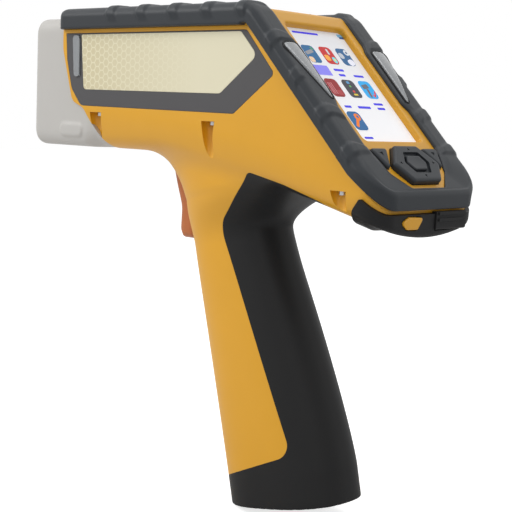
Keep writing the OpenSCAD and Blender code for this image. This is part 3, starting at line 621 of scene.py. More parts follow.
@dataclass(frozen=True)
class Brushed(Finish):
    """Bare metal with fine lines along X."""

    def surface(self, nodes: Nodes, place: bpy.types.NodeSocket) -> bpy.types.NodeSocket:
        """The normal: noise drawn out along X.

        Args:
            nodes: the material's node tree.
            place: the object coordinates.

        Returns:
            The socket with the normal.
        """
        drawn = nodes.add("Mapping", Vector=place, Scale=(0.04, 1.0, 1.0))
        lines = nodes.add("TexNoise", Vector=drawn.outputs[0], Scale=1000.0 / self.grain,
                          Detail=3.0)
        soft = nodes.add("Bevel", samples=4, Radius=self.edge * MM)
        bump = nodes.add("Bump", Strength=0.6, Distance=self.relief * MM, Height=lines.outputs[0],
                         Normal=soft.outputs[0])
        return bump.outputs[0]


@dataclass(frozen=True)
class Honeycomb(Finish):
    """A printed film: darker six-sided cells between pale lines, which fade out towards the tail.

    Attributes:
        line: Linear colour of the lines and of the plain ground.
        pitch: Distance between rows of cells along X, in mm.
        fade: X where the cells start to fade and where they are gone, in mm.
    """

    line: tuple[float, float, float] = (0.74, 0.69, 0.50)
    pitch: float = 3.3
    fade: tuple[float, float] = (-118.0, -40.0)

    def tint(self, nodes: Nodes, place: bpy.types.NodeSocket) -> bpy.types.NodeSocket:
        """The colour: the distance to the edge of the nearest cell of a honeycomb.

        Args:
            nodes: the material's node tree.
            place: the object coordinates.

        Returns:
            The socket with the colour.
        """
        split = nodes.add("SeparateXYZ", Vector=place)
        wide = self.pitch * 2 * MM
        tall = wide / math.sqrt(3.0)
        x = nodes.math("DIVIDE", split.outputs[0], wide)
        z = nodes.math("DIVIDE", split.outputs[2], tall)
        apart = [self.cell_edge(nodes, nodes.math("ADD", x, shift), nodes.math("ADD", z, shift))
                 for shift in (0.0, 0.5)]
        edge = nodes.math("MINIMUM", *apart)
        cell = nodes.add("MapRange", Value=edge, From_Min=0.40, From_Max=0.46, To_Min=1.0,
                         To_Max=0.0)
        left = nodes.add("MapRange", Value=split.outputs[0], From_Min=self.fade[0] * MM,
                         From_Max=self.fade[1] * MM, To_Min=1.0, To_Max=0.0)
        share = nodes.math("MULTIPLY", cell.outputs[0], left.outputs[0])
        return nodes.blend(share, rgba(self.line), rgba(self.colour))

    @staticmethod
    def cell_edge(nodes: Nodes, x: bpy.types.NodeSocket,
                  z: bpy.types.NodeSocket) -> bpy.types.NodeSocket:
        """How far a point lies from its cell's middle, in six-sided measure, by the pitch.

        Args:
            nodes: the material's nodes.
            x: the place along X, divided by the pattern's width.
            z: the place along Z, divided by the pattern's height.

        Returns:
            The distance, as a socket.
        """
        dx = nodes.math("ABSOLUTE", nodes.math("SUBTRACT", nodes.math("FRACT", x), 0.5))
        dz = nodes.math("ABSOLUTE", nodes.math("SUBTRACT", nodes.math("FRACT", z), 0.5))
        slant = nodes.math("ADD", nodes.math("MULTIPLY", dx, 1.5), nodes.math("MULTIPLY", dz, 0.5))
        return nodes.math("MAXIMUM", slant, dz)


@dataclass(frozen=True)
class Clear(Finish):
    """A clear moulded lens or film over a pale ground."""

    clear: float = 0.6

    def shader(self, nodes: Nodes, colour: bpy.types.NodeSocket,
               normal: bpy.types.NodeSocket) -> bpy.types.Node:
        """A glossy shader that lets part of the light through.

        Args:
            nodes: the material's nodes.
            colour: the colour of the surface.
            normal: the normal with its grain.

        Returns:
            The shader's node.
        """
        node = super().shader(nodes, colour, normal)
        node.inputs["Transmission Weight"].default_value = self.clear
        node.inputs["IOR"].default_value = 1.45
        return node


@dataclass(frozen=True)
class Picture(Finish):
    """The lit picture on the display: each mark's colour is an attribute of its faces."""

    glow: float = 0.28

    def tint(self, nodes: Nodes, place: bpy.types.NodeSocket) -> bpy.types.NodeSocket:
        """The colour of the mark."""
        return nodes.add("Attribute", attribute_name="tint").outputs["Color"]

    def shader(self, nodes: Nodes, colour: bpy.types.NodeSocket,
               normal: bpy.types.NodeSocket) -> bpy.types.Node:
        """A glossy shader that glows in the mark's own colour.

        Args:
            nodes: the material's nodes.
            colour: the mark's colour.
            normal: the normal with its grain.

        Returns:
            The shader's node.
        """
        node = super().shader(nodes, colour, normal)
        nodes.tree.links.new(colour, node.inputs["Emission Color"])
        node.inputs["Emission Strength"].default_value = self.glow
        return node


YELLOW = Finish("yellow_plastic", (0.71, 0.345, 0.008), rough=0.42, coat=0.12, grain=0.35,
                relief=0.004, drift=0.035)
CHARCOAL = Finish("charcoal_rubber", (0.027, 0.031, 0.036), rough=0.44, grain=0.3, relief=0.006,
                  gloss=0.28)
BLACK = Finish("black_rubber", (0.021, 0.021, 0.0215), rough=0.42, grain=0.45, relief=0.012,
               gloss=0.1)
NOSE = Finish("warm_grey_plastic", (0.49, 0.475, 0.45), rough=0.5, grain=0.4, relief=0.006,
              drift=0.03)
DARK = Finish("dark_grey_plastic", (0.057, 0.055, 0.058), rough=0.55, grain=0.4, relief=0.006)
LABEL = Honeycomb("cream_label", (0.62, 0.55, 0.345), rough=0.45, grain=0.4, relief=0.002, coat=0.1)
COPPER = Finish("copper_plastic", (0.46, 0.13, 0.025), rough=0.4, grain=0.4, relief=0.004, coat=0.2)
LENS = Clear("clear_lens", (0.34, 0.36, 0.38), rough=0.08, coat=1.0, grain=1.5, relief=0.006,
             clear=0.4)
SCREEN = Picture("display_glass", (0.9, 0.9, 0.93), rough=0.22, coat=0.1, relief=0.0005, edge=0.1,
                 gloss=0.15)
FILM = Finish("window_film", (0.5, 0.24, 0.035), rough=0.25, relief=0.003, coat=0.5)
SOOT = Finish("black_plastic", (0.022, 0.023, 0.026), rough=0.5)
STEEL = Brushed("steel", (0.55, 0.56, 0.57), rough=0.32, metal=1.0, grain=0.4, relief=0.006)
ALUMINIUM = Brushed("aluminium", (0.72, 0.73, 0.74), rough=0.4, metal=1.0, grain=0.4, relief=0.006)
BOARD = Finish("circuit_board", (0.03, 0.15, 0.06), rough=0.4, coat=0.3, drift=0.15)
BRASS = Brushed("brass", (0.66, 0.45, 0.16), rough=0.3, metal=1.0)

FINISHES = {f.slot: f for f in (YELLOW, CHARCOAL, BLACK, NOSE, DARK, LABEL, COPPER, LENS, SCREEN,
                                FILM, SOOT,
                                STEEL, ALUMINIUM, BOARD, BRASS)}


# ---------------------------------------------------------------------------------------------
# The shell: housing and grip are one smooth form, cut along the lines where they meet
# ---------------------------------------------------------------------------------------------

class Side(Enum):
    """The two sides of the analyzer."""

    LEFT = -1
    RIGHT = 1


@dataclass
class Shell:
    """The yellow housing and the rubber grip, with the sizes of the solids that they stand for."""

    nose_x: float = -165.0
    seat_x: float = -139.5
    tail_x: float = 67.5
    top_z: float = 235.0
    slope: float = math.radians(46.5)
    cover_t: float = 8.5
    face_t: float = 6.0
    tail_h: float = 10.2
    side_y: float = 37.5
    under_y: float = 31.0
    under_z: float = 166.5
    under_drop: float = 29.0
    crease_z: float = 177.5
    crease_drop: float = 34.0
    tail_r: float = 10.0
    foot_tilt: float = math.radians(11.3)
    foot_p: float = 33.5
    foot_y: float = 25.5
    waist_h: float = 133.0
    lean_front: float = 8.2
    lean_back: float = 25.6
    waist_y: float = 20.5
    grip_t: float = 2.5
    seam: float = 0.12
    cell: float = 1.0
    pocket_x: tuple[float, float, float] = (-113.0, -33.0, 45.5)
    pocket_z: tuple[float, float, float] = (184.5, 182.5, 155.3)
    pocket_r: float = 4.6

    @property
    def split_z(self) -> float:
        """Height of the parting plane along the top."""
        return self.top_z - self.cover_t

    @property
    def brow_mid(self) -> float:
        """X where the parting plane bends."""
        tail_split = self.under_z - self.under_drop + self.tail_h
        return self.tail_x - (self.split_z - tail_split) / math.tan(self.slope)

    @property
    def brow_x(self) -> float:
        """X of the top edge of the display face."""
        return self.brow_mid - (self.cover_t - self.face_t
                                / math.cos(self.slope)) / math.tan(self.slope)

    @property
    def face_l(self) -> float:
        """Length of the display face down its slope."""
        return (self.tail_x - self.brow_x) / math.cos(self.slope)

    @property
    def normal(self) -> Array:
        """Outward normal of the display face."""
        return np.array([math.sin(self.slope), 0.0, math.cos(self.slope)])

    def on_face(self, u: Array, y: Array, n: float | Array = 0.0) -> Array:
        """Points at u down the slope, y across and n above the display face.

        Args:
            u: lengths down the slope from the brow.
            y: places across.
            n: heights above the display face.

        Returns:
            The points, with x, y and z on the last axis.
        """
        c, s = math.cos(self.slope), math.sin(self.slope)
        u, y, n = np.broadcast_arrays(np.asarray(u, float), y, n)
        return np.stack([self.brow_x + u * c + n * s, y, self.top_z - u * s + n * c], -1)

    def lay_face(self, q: Array, n: float) -> Array:
        """Points [u, y] of the display face at the height n above it."""
        return self.on_face(q[:, 0], q[:, 1], n)

    def crease(self, x: Array) -> Array:
        """Height of the side crease: it falls with the square of the way back.

        Args:
            x: places along the body.

        Returns:
            The crease's height at each place.
        """
        start = -110.0
        return self.crease_z - self.crease_drop * (np.maximum(x - start,
                                                              0) / (self.tail_x - start)) ** 2

    def under(self, x: Array) -> Array:
        """Height of the underside: level at first, then falling faster and faster.

        Args:
            x: places along the body.

        Returns:
            The underside's height at each place.
        """
        start = -70.0
        return self.under_z - self.under_drop * (np.maximum(x - start,
                                                            0) / (self.tail_x - start)) ** 1.3

    def split(self, x: Array) -> Array:
        """Height of the parting plane."""
        return self.split_z - np.maximum(x - self.brow_mid, 0) * math.tan(self.slope)

    def plan(self, x: Array, y: Array) -> Array:
        """Distance outside the body's plan: two straight sides and a tail with round corners.

        Args:
            x: places along the body.
            y: places across it.

        Returns:
            The distances, negative inside the plan.
        """
        dx, dy = x - (self.tail_x - self.tail_r), np.abs(y) - (self.side_y - self.tail_r)
        outside = np.hypot(np.maximum(dx, 0), np.maximum(dy, 0))
        return outside + np.minimum(np.maximum(dx, dy), 0) - self.tail_r

    def body(self, x: Array, y: Array, z: Array) -> Array:
        """The body's field: plan, slanted flank and underside, with soft edges between them.

        Args:
            x, y, z: where the field is asked for, in millimetres.

        Returns:
            The field there: below zero inside.
        """
        side = self.plan(x, y)
        crease, under = self.crease(x), self.under(x)
        fall, run = crease - under, self.side_y - self.under_y
        flank = (side * fall - (z - crease) * run) / np.hypot(fall, run)
        return smooth_max(smooth_max(side, flank, 5.0), under - z, 7.0)

    def handle(self, x: Array, y: Array, z: Array) -> Array:
        """The handle's field: ovals of power 2.5 stacked along the battery's way in.

        Args:
            x, y, z: where the field is asked for, in millimetres.

        Returns:
            The field there: below zero inside.
        """
        c, s = math.cos(self.foot_tilt), math.sin(self.foot_tilt)
        p, h = c * x + s * z, c * z - s * x
        up = smooth_min(np.maximum(h, 0), np.full(np.shape(h), self.waist_h), 26.0)
        flare = np.maximum(h - self.waist_h - 17.0, 0)
        front = -self.foot_p - self.lean_front * up / self.waist_h - 0.018 * flare ** 2
        lean = self.lean_back * (np.maximum(up - 16.0, 0) / (self.waist_h - 16.0)) ** 1.3
        back = np.minimum(58.0, self.foot_p - lean + 0.13 * np.maximum(h - self.waist_h, 0) ** 2)
        taper = np.maximum(1 - up / self.waist_h, 0) ** 1.2
        low = self.waist_y + (self.foot_y - self.waist_y) * taper
        half = smooth_min(np.full(np.shape(low), self.under_y - 1.0),
                          low + 0.03 * np.maximum(h - self.waist_h + 4, 0) ** 2, 14.0)
        across = np.maximum(np.abs(p - (front + back) / 2) / ((back - front) / 2), 1e-4)
        wide = np.maximum(np.abs(y) / half, 1e-4)
        power = 2.5
        level = (across ** power + wide ** power) ** (1 / power)
        slope = level ** (1 - power) * np.hypot(across ** (power - 1) * 2 / (back - front),
                                                wide ** (power - 1) / half)
        oval = (level - 1) / np.maximum(slope, 1e-3)
        return smooth_max(smooth_max(oval, -h, 1.2), z - 185.0, 2.0)

    def form(self, x: Array, y: Array, z: Array) -> Array:
        """The field of the whole shell."""
        return smooth_min(self.body(x, y, z), self.handle(x, y, z), 7.0)

    def raw(self, name: str, inset: float = 0.0) -> bpy.types.Object:
        """The shell's form, drawn in by inset, as a mesh.

        Args:
            name: the object's name.
            inset: how far the form is drawn in.

        Returns:
            The form as an object.
        """
        points, faces = net(lambda x, y, z: self.form(x, y, z) + inset, (-146.0, -41.0, -9.0),
                            (72.0, 41.0, 234.0), self.cell)
        return solid(name, points, faces.tolist())

    def nose_line(self) -> list[list[float]]:
        """The edge where nose and housing meet in side view, from under the body upwards."""
        x, z = self.seat_x, self.under_z
        return [[x + 38, z - 9, 0], [x + 17, z + 20, 8], [x + 8, z + 23.5, 6], [x, z + 50, 20]]

    def housing_view(self) -> Array:
        """The side view of what is yellow: behind the nose's line and below the parting plane.

        Returns:
            The outline [x, z].
        """
        behind = self.tail_x + 12.0
        line = rounded([*self.nose_line(), [self.seat_x, self.split_z, 0],
                        [self.brow_mid, self.split_z, 4],
                        [behind, float(self.split(np.array(behind))), 0],
                        [behind, -30, 0], [-95, -30, 0], [-95, self.under_z - 9, 0]])
        return line[::-1]

    def grip_view(self) -> Array:
        """The side view of what is rubber: the handle's back, its base and a wing.

        Returns:
            The outline [x, z].
        """
        return rounded([[-10.5, 160.3, 5], [-38.5, 131.8, 11], [12.6, 28.6, 7], [-60, -5, 0],
                        [-60, -40, 0],
                        [90, -40, 0], [90, 60, 0], [46, 136, 0], [31, 149.5, 0], [12, 155.4, 0]],
                       10)

    def pockets(self) -> bpy.types.Object:
        """The six screw pockets: cones that narrow downwards and run out on the flank.

        Returns:
            The cones, as one tool for carve.
        """
        cones = []
        for side in Side:
            for x, z in zip(self.pocket_x, self.pocket_z):
                angle = np.linspace(0, 2 * math.pi, 41)[:-1]
                ring = np.stack([np.cos(angle), np.sin(angle)], 1)
                middle = np.array([x, side.value * (self.side_y - 1.7)])
                rings = [np.column_stack([middle + r * ring, np.full(40, z - drop)])
                         for r, drop in ((1.5, 20.0), (self.pocket_r, 0.0))]
                cones.append(sweep("pocket", np.stack(rings)))
        return join(cones)

    def band_view(self, grow: float) -> Array:
        """The side view of the dark band's seat.

        Args:
            grow: how far the outline is moved out.

        Returns:
            The outline [x, z].
        """
        top = self.split_z - 2.0
        return grown([[self.seat_x + 2.5, top, 0], [self.seat_x + 3.5, self.under_z + 45, 8],
                      [self.seat_x + 7.5, self.under_z + 30, 8],
                      [self.seat_x + 15, self.under_z + 21.3, 5],
                      [self.brow_x - 9.9, self.under_z + 20, 3],
                      [self.brow_x + 14.1, self.under_z + 38.3, 2],
                      [self.brow_x - 3.4, top, 3]], grow)

    def build(self) -> None:
        """Builds the housing and the grip."""
        core = self.raw("main_housing_shell")
        grip = core.copy()
        grip.data = core.data.copy()
        grip.name = "rubber_grip"
        bpy.context.scene.collection.objects.link(grip)
        hollow = self.raw("hollow", self.grip_t)

        carve(core, prism("view", self.housing_view(), -60, 60, on_side_view), "INTERSECT")
        self.open_housing(core, hollow)
        carve(grip, prism("view", self.grip_view(), -60, 60, on_side_view), "INTERSECT")
        carve(grip, prism("top", self.housing_view(), -60, 60, on_side_view), "INTERSECT")
        carve(grip, hollow)
        finish_piece(core, "body", YELLOW, ["main_housing"])
        finish_piece(grip, "body", BLACK, ["grip"])

    def open_housing(self, core: bpy.types.Object, hollow: bpy.types.Object) -> None:
        """Cuts the seats of grip and band, the pockets, the trigger's slot and the battery's well.

        Args:
            core: the housing, still full.
            hollow: the shell's form drawn in by the rubber's thickness.
        """
        seat = hollow.copy()
        seat.data = hollow.data.copy()
        bpy.context.scene.collection.objects.link(seat)
        rubber = prism("rubber", self.grip_view(), -60, 60, on_side_view)
        carve(rubber, seat)
        carve(core, rubber)
        carve(core, self.pockets())
        band = self.band_view(self.seam)
        deep = self.side_y - 1.35
        carve(core, join([prism("band", band, s * deep, s * 60, on_side_view) for s in (-1, 1)]))
        slot = np.array([[-110, 163.5], [-110, 117], [-57, 117], [-57, 163.5]])
        carve(core, prism("slot", slot, -8.0, 8.0, on_side_view))
        carve(core, self.well())
        room = np.array([[self.seat_x + 4, 170], [-60, 170], [20, 160], [58, 155], [58, 300],
                         [self.seat_x + 4, 300]])
        carve(core, prism("room", room, -29.0, 29.0, on_side_view))

    def well(self) -> bpy.types.Object:
        """The battery's well, along the handle, with the wider seat of its cap.

        Returns:
            The tool for carve.
        """
        def lay(q: Array, h: float) -> Array:
            """The points q of a section across the handle, at the height h along it."""
            return in_handle(np.column_stack([q, np.full(len(q), h)]), self.foot_tilt)
        pack = rounded([[-25.5, -14.5, 6], [11.5, -14.5, 6], [11.5, 14.5, 6], [-25.5, 14.5, 6]])
        cap = oval(self.foot_p - 4.9, self.foot_y - 4.9, 2.5, 64)
        well = prism("well", pack, -3.0, 97.0, lay)
        seat = prism("cap_seat", cap, -3.0, 6.1, lay)
        union = well.modifiers.new("join", "BOOLEAN")
        union.object, union.operation, union.solver = seat, "UNION", "MANIFOLD"
        graph = bpy.context.evaluated_depsgraph_get()
        well.data = bpy.data.meshes.new_from_object(well.evaluated_get(graph))
        well.modifiers.clear()
        bpy.data.objects.remove(seat)
        return well


def grown(corners: Sequence[Sequence[float]], grow: float, steps: int = 6) -> Array:
    """A convex outline [x, y, radius] with each edge moved out by grow.

    Args:
        corners: the outline, each corner with its radius.
        grow: how far each edge moves out.
        steps: the points on each rounded corner.

    Returns:
        The outline's points.
    """
    count = len(corners)
    out = []
    for i, (x, y, radius) in enumerate(corners):
        p = np.array([x, y], float)
        u = p - np.array(corners[i - 1][:2], float)
        v = np.array(corners[(i + 1) % count][:2], float) - p
        u, v = u / np.linalg.norm(u), v / np.linalg.norm(v)
        nu, nv = np.array([u[1], -u[0]]), np.array([v[1], -v[0]])
        if area(corners) < 0:
            nu, nv = -nu, -nv
        q = p + grow * (nu + nv) / (1 + nu @ nv)
        out.append([q[0], q[1], max(radius + grow, 0.0) if radius > 0 else 0.0])
    return rounded(out, steps)


def area(corners: Sequence[Sequence[float]]) -> float:
    """Signed area of an outline, positive when it runs anticlockwise.

    Args:
        corners: the outline's corners, of which the first two numbers count.

    Returns:
        The area in mm2, negative when the outline runs clockwise.
    """
    q = np.array([c[:2] for c in corners], float)
    r = np.roll(q, -1, axis=0)
    return float((q[:, 0] * r[:, 1] - q[:, 1] * r[:, 0]).sum() / 2)


def oval(a: float, b: float, power: float, steps: int) -> Array:
    """An oval between an ellipse (power 2) and a rectangle.

    Args:
        a, b: half its length and half its width.
        power: 2 for an ellipse, more for a squarer oval.
        steps: the number of points.

    Returns:
        The oval's points.
    """
    t = 2 * math.pi * (np.arange(steps) + 0.5) / steps
    c, s = np.cos(t), np.sin(t)
    return np.stack([a * np.sign(c) * np.abs(c) ** (2 / power),
                     b * np.sign(s) * np.abs(s) ** (2 / power)], 1)


def in_handle(points: Array, tilt: float) -> Array:
    """Points [p, y, h] of the handle's frame, in the shared frame.

    Args:
        points: rows of p along the handle's depth, y across and h up the handle.
        tilt: the handle's lean in radians.

    Returns:
        Rows of x, y and z.
    """
    c, s = math.cos(tilt), math.sin(tilt)
    p, y, h = np.asarray(points, float).T
    return np.stack([c * p - s * h, y, s * p + c * h], 1)


# ---------------------------------------------------------------------------------------------
# Bumper: one profile carried along both edges and round the tail
# ---------------------------------------------------------------------------------------------

def resample(points: Array, count: int) -> Array:
    """The same open line with its points at even spacing.

    Args:
        points: the line.
        count: the number of points it gets.

    Returns:
        The new points.
    """
    points = np.asarray(points, float)
    along = np.concatenate([[0.0], np.cumsum(np.linalg.norm(np.diff(points, axis=0), axis=1))])
    at = np.linspace(0, along[-1], count)
    return np.stack([np.interp(at, along, points[:, k]) for k in range(points.shape[1])], 1)


@dataclass
class Bumper:
    """The charcoal bumper. Its ribs are arched and fade out at both sides of the band."""

    shell: Shell
    band_in: float = 10.3
    band_out: float = 4.2
    band_up: float = 2.15
    band_down: float = 8.4
    keys_u: float = 84.0
    inner_y: float = 27.2
    side_t: float = 4.2
    tail_t: float = 2.8
    tail_rise: float = 1.0
    end_round: float = 4.5
    brow_depth: float = 12.0
    tail_depth: float = 8.2
    rib_rise: float = 0.85
    rib_half: float = 4.2
    rib_arch: float = 4.0
    rib_pitch: float = 22.0
    top_ribs: int = 5
    face_ribs: int = 4
    lens_span: tuple[float, float] = (22.0, 60.0)
    lens_bulge: float = 2.0

    def stations(self) -> dict[str, Array]:
        """Places along one side and then half the tail: points on both lines, and directions.

        Returns:
            Arrays by name, with one entry for each place along the edge.
        """
        shell = self.shell
        slope, depth = shell.slope, self.brow_depth
        lead = depth * math.tan(slope / 2)
        top_x = np.linspace(shell.seat_x + 0.1, shell.brow_x - lead, 190)
        turn = np.linspace(0, slope, 22)[1:-1]
        middle = np.array([shell.brow_x - lead, shell.top_z - depth])
        face_u = np.linspace(lead, self.keys_u, 150)
        ahead = self.tail_stations()
        count = len(top_x) + len(turn) + len(face_u)
        wall = np.concatenate([
            np.stack([top_x, np.full(len(top_x), shell.side_y), np.full(len(top_x), shell.top_z)],
                     1),
            np.stack([middle[0] + depth * np.sin(turn), np.full(len(turn), shell.side_y),
                      middle[1] + depth * np.cos(turn)], 1),
            self.shell.on_face(face_u, shell.side_y)])
        angle = np.concatenate([np.zeros(len(top_x)), turn, np.full(len(face_u), slope)])
        up = np.stack([np.sin(angle), 0 * angle, np.cos(angle)], 1)
        inner = wall.copy()
        inner[:, 1] = self.inner_y
        low, high = self.lens_span
        bulge = smooth_step(low - 3, low + 3, face_u)
        bulge = bulge * (1 - smooth_step(high - 4, high + 2, face_u))
        inner[-len(face_u):, 1] -= self.lens_bulge * bulge
        out = np.tile([0.0, 1.0, 0.0], (count, 1))
        share = np.concatenate([np.zeros(len(top_x)), np.linspace(0, 1, len(turn)),
                                np.ones(len(face_u))])
        deep = shell.cover_t - 0.1 + (shell.face_t - shell.cover_t) * share
        parts = {"wall": wall, "inner": inner, "up": up, "out": out, "down": -up, "deep": deep,
                 "thick": np.full(count, self.side_t), "rise": np.ones(count)}
        return {key: np.concatenate([value, ahead[key]]) for key, value in parts.items()}

    def tail_stations(self) -> dict[str, Array]:
        """The last stretch: the edge turns round the tail, the inner line keeps by the keys.

        Returns:
            The same arrays as stations gives.
        """
        shell = self.shell
        count = 110
        turn = np.linspace(0, math.pi / 2, 30)
        plan = np.concatenate([
            np.stack([np.linspace(shell.on_face(self.keys_u, 0)[0], shell.tail_x - shell.tail_r,
                                  12)[:-1],
                      np.full(11, shell.side_y)], 1),
            np.stack([shell.tail_x - shell.tail_r * (1 - np.sin(turn)),
                      shell.side_y - shell.tail_r * (1 - np.cos(turn))], 1),
            [[shell.tail_x, 0.0]]])
        plan = resample(plan, count + 1)[1:]
        z = shell.top_z - (plan[:, 0] - shell.brow_x) * math.tan(shell.slope)
        angle = np.arctan2(np.maximum(plan[:, 0] - (shell.tail_x - shell.tail_r), 0),
                           np.maximum(plan[:, 1] - (shell.side_y - shell.tail_r), 1e-9))
        share = smooth_step(0, 1, angle / (math.pi / 2))[:, None]
        line = resample(rounded([[self.keys_u, self.inner_y, 0], [98.5, 21.4, 4], [107.4, 12.6, 3],
                                 [107.4, 0, 0]]), count + 1)[1:]
        up = np.tile(self.shell.normal, (count, 1))
        down = -up * (1 - share) + np.array([0, 0, -1.0]) * share
        deep = shell.face_t * (1 - share[:, 0]) + self.tail_depth * share[:, 0]
        return {"wall": np.column_stack([plan, z]),
                "inner": self.shell.on_face(line[:, 0], line[:, 1]), "up": up,
                "out": np.column_stack([np.sin(angle), np.cos(angle), 0 * angle]),
                "down": down / np.linalg.norm(down, axis=1, keepdims=True), "deep": deep,
                "thick": self.side_t + (self.tail_t - self.side_t) * share[:, 0],
                "rise": 1 + (self.tail_rise / self.band_up - 1) * share[:, 0]}

    def profile(self) -> tuple[Array, Array]:
        """The band's section [q, b], q outwards from the wall and b down, and its normals.

        Returns:
            The section's points, and the normal at each.
        """
        far, near, up, down = -self.band_in, self.band_out, -self.band_up, self.band_down
        line = rounded([[far, 1.9, 0], [far, -1.2, 1.0], [-7.8, up, 4.0], [1.2, up, 5.5],
                        [near, 1.2, 3.5], [near, down, 0.7], [0.1, down, 0], [0.1, 1.9, 0]], 7)
        line = resample(np.concatenate([line, line[:1]]), 97)[:-1]
        along = np.roll(line, -1, 0) - np.roll(line, 1, 0)
        normal = np.stack([along[:, 1], -along[:, 0]], 1)
        return line, normal / np.linalg.norm(normal, axis=1, keepdims=True)

    def ribs(self, s: Array, c: Array) -> Array:
        """Height of the ribs at a length s along the edge and a share c across the band.

        Args:
            s: lengths along the edge.
            c: shares across the band.

        Returns:
            The height at each s and c.
        """
        brow = self.shell.brow_x
        mids = np.concatenate([brow - 5 - self.rib_pitch * np.arange(self.top_ribs),
                               brow + 19.8 + self.rib_pitch * np.arange(self.face_ribs)])
        arch = self.rib_arch * ((2 * c - 1) ** 2)
        off = s[:, None, None] - mids[None, None, :] - arch[None, :, None]
        rib = 1 - smooth_step(0.45, 1.0, np.abs(off) / self.rib_half)
        fade = smooth_step(0.0, 0.22, c) * (1 - smooth_step(0.72, 0.98, c))
        low, high = self.lens_span
        by_lens = smooth_step(low, low + 2, s - brow) * (1 - smooth_step(high - 4, high, s - brow))
        free = 1 - by_lens[:, None] * (1 - smooth_step(0.48, 0.62, c))[None, :]
        return self.rib_rise * rib.max(-1) * fade[None, :] * free

    def rings(self) -> Array:
        """All rings: one side, half the tail, and then the same mirrored.

        Returns:
            The rings, for sweep.
        """
        at = self.stations()
        line, normal = self.profile()
        wall, inner = at["wall"], at["inner"]
        steps = np.linalg.norm(np.diff(wall, axis=0), axis=1)
        s = self.shell.seat_x + np.concatenate([[0.0], np.cumsum(steps)])
        lead = self.brow_depth * math.tan(self.shell.slope / 2)
        s += np.where(s > self.shell.brow_x, 2 * lead - self.brow_depth * self.shell.slope, 0)
        top = np.cumsum(np.concatenate([[0.0], np.linalg.norm(np.diff(line, axis=0), axis=1)]))
        c = np.clip((top - 3.1) / 21.0, 0, 1)
        lift = self.ribs(s, c) * (normal[:, 1] < 0.35)[None, :]
        q = line[None, :, 0] + lift * normal[None, :, 0]
        b = line[None, :, 1] + lift * normal[None, :, 1]
        near = np.clip((s - s[0]) / self.end_round, 0, 1)
        round_off = np.sqrt(1 - (1 - near) ** 2)[:, None] * 0.75 + 0.25
        width = (wall - inner) / self.band_in
        q_in, q_out = np.minimum(q, 0), np.maximum(q, 0)
        b_up, b_down = np.minimum(b, 0), np.maximum(b, 0)
        rise = (at["rise"][:, None] * round_off * -b_up)[..., None] * at["up"][:, None]
        fall = (at["deep"][:, None] / self.band_down * b_down)[..., None] * at["down"][:, None]
        outer = at["thick"][:, None] / self.band_out * q_out * round_off
        outer = outer[..., None] * at["out"][:, None]
        half = wall[:, None] + q_in[..., None] * width[:, None] + outer + rise + fall
        return np.concatenate([half, mirrored(half[::-1][1:])])

    def build(self) -> None:
        """Builds the bumper."""
        finish_piece(sweep("rubber_bumper", self.rings()), "body", CHARCOAL, ["bumper"],
                     sharp_deg=50.0)


# ---------------------------------------------------------------------------------------------
# Nose
# ---------------------------------------------------------------------------------------------

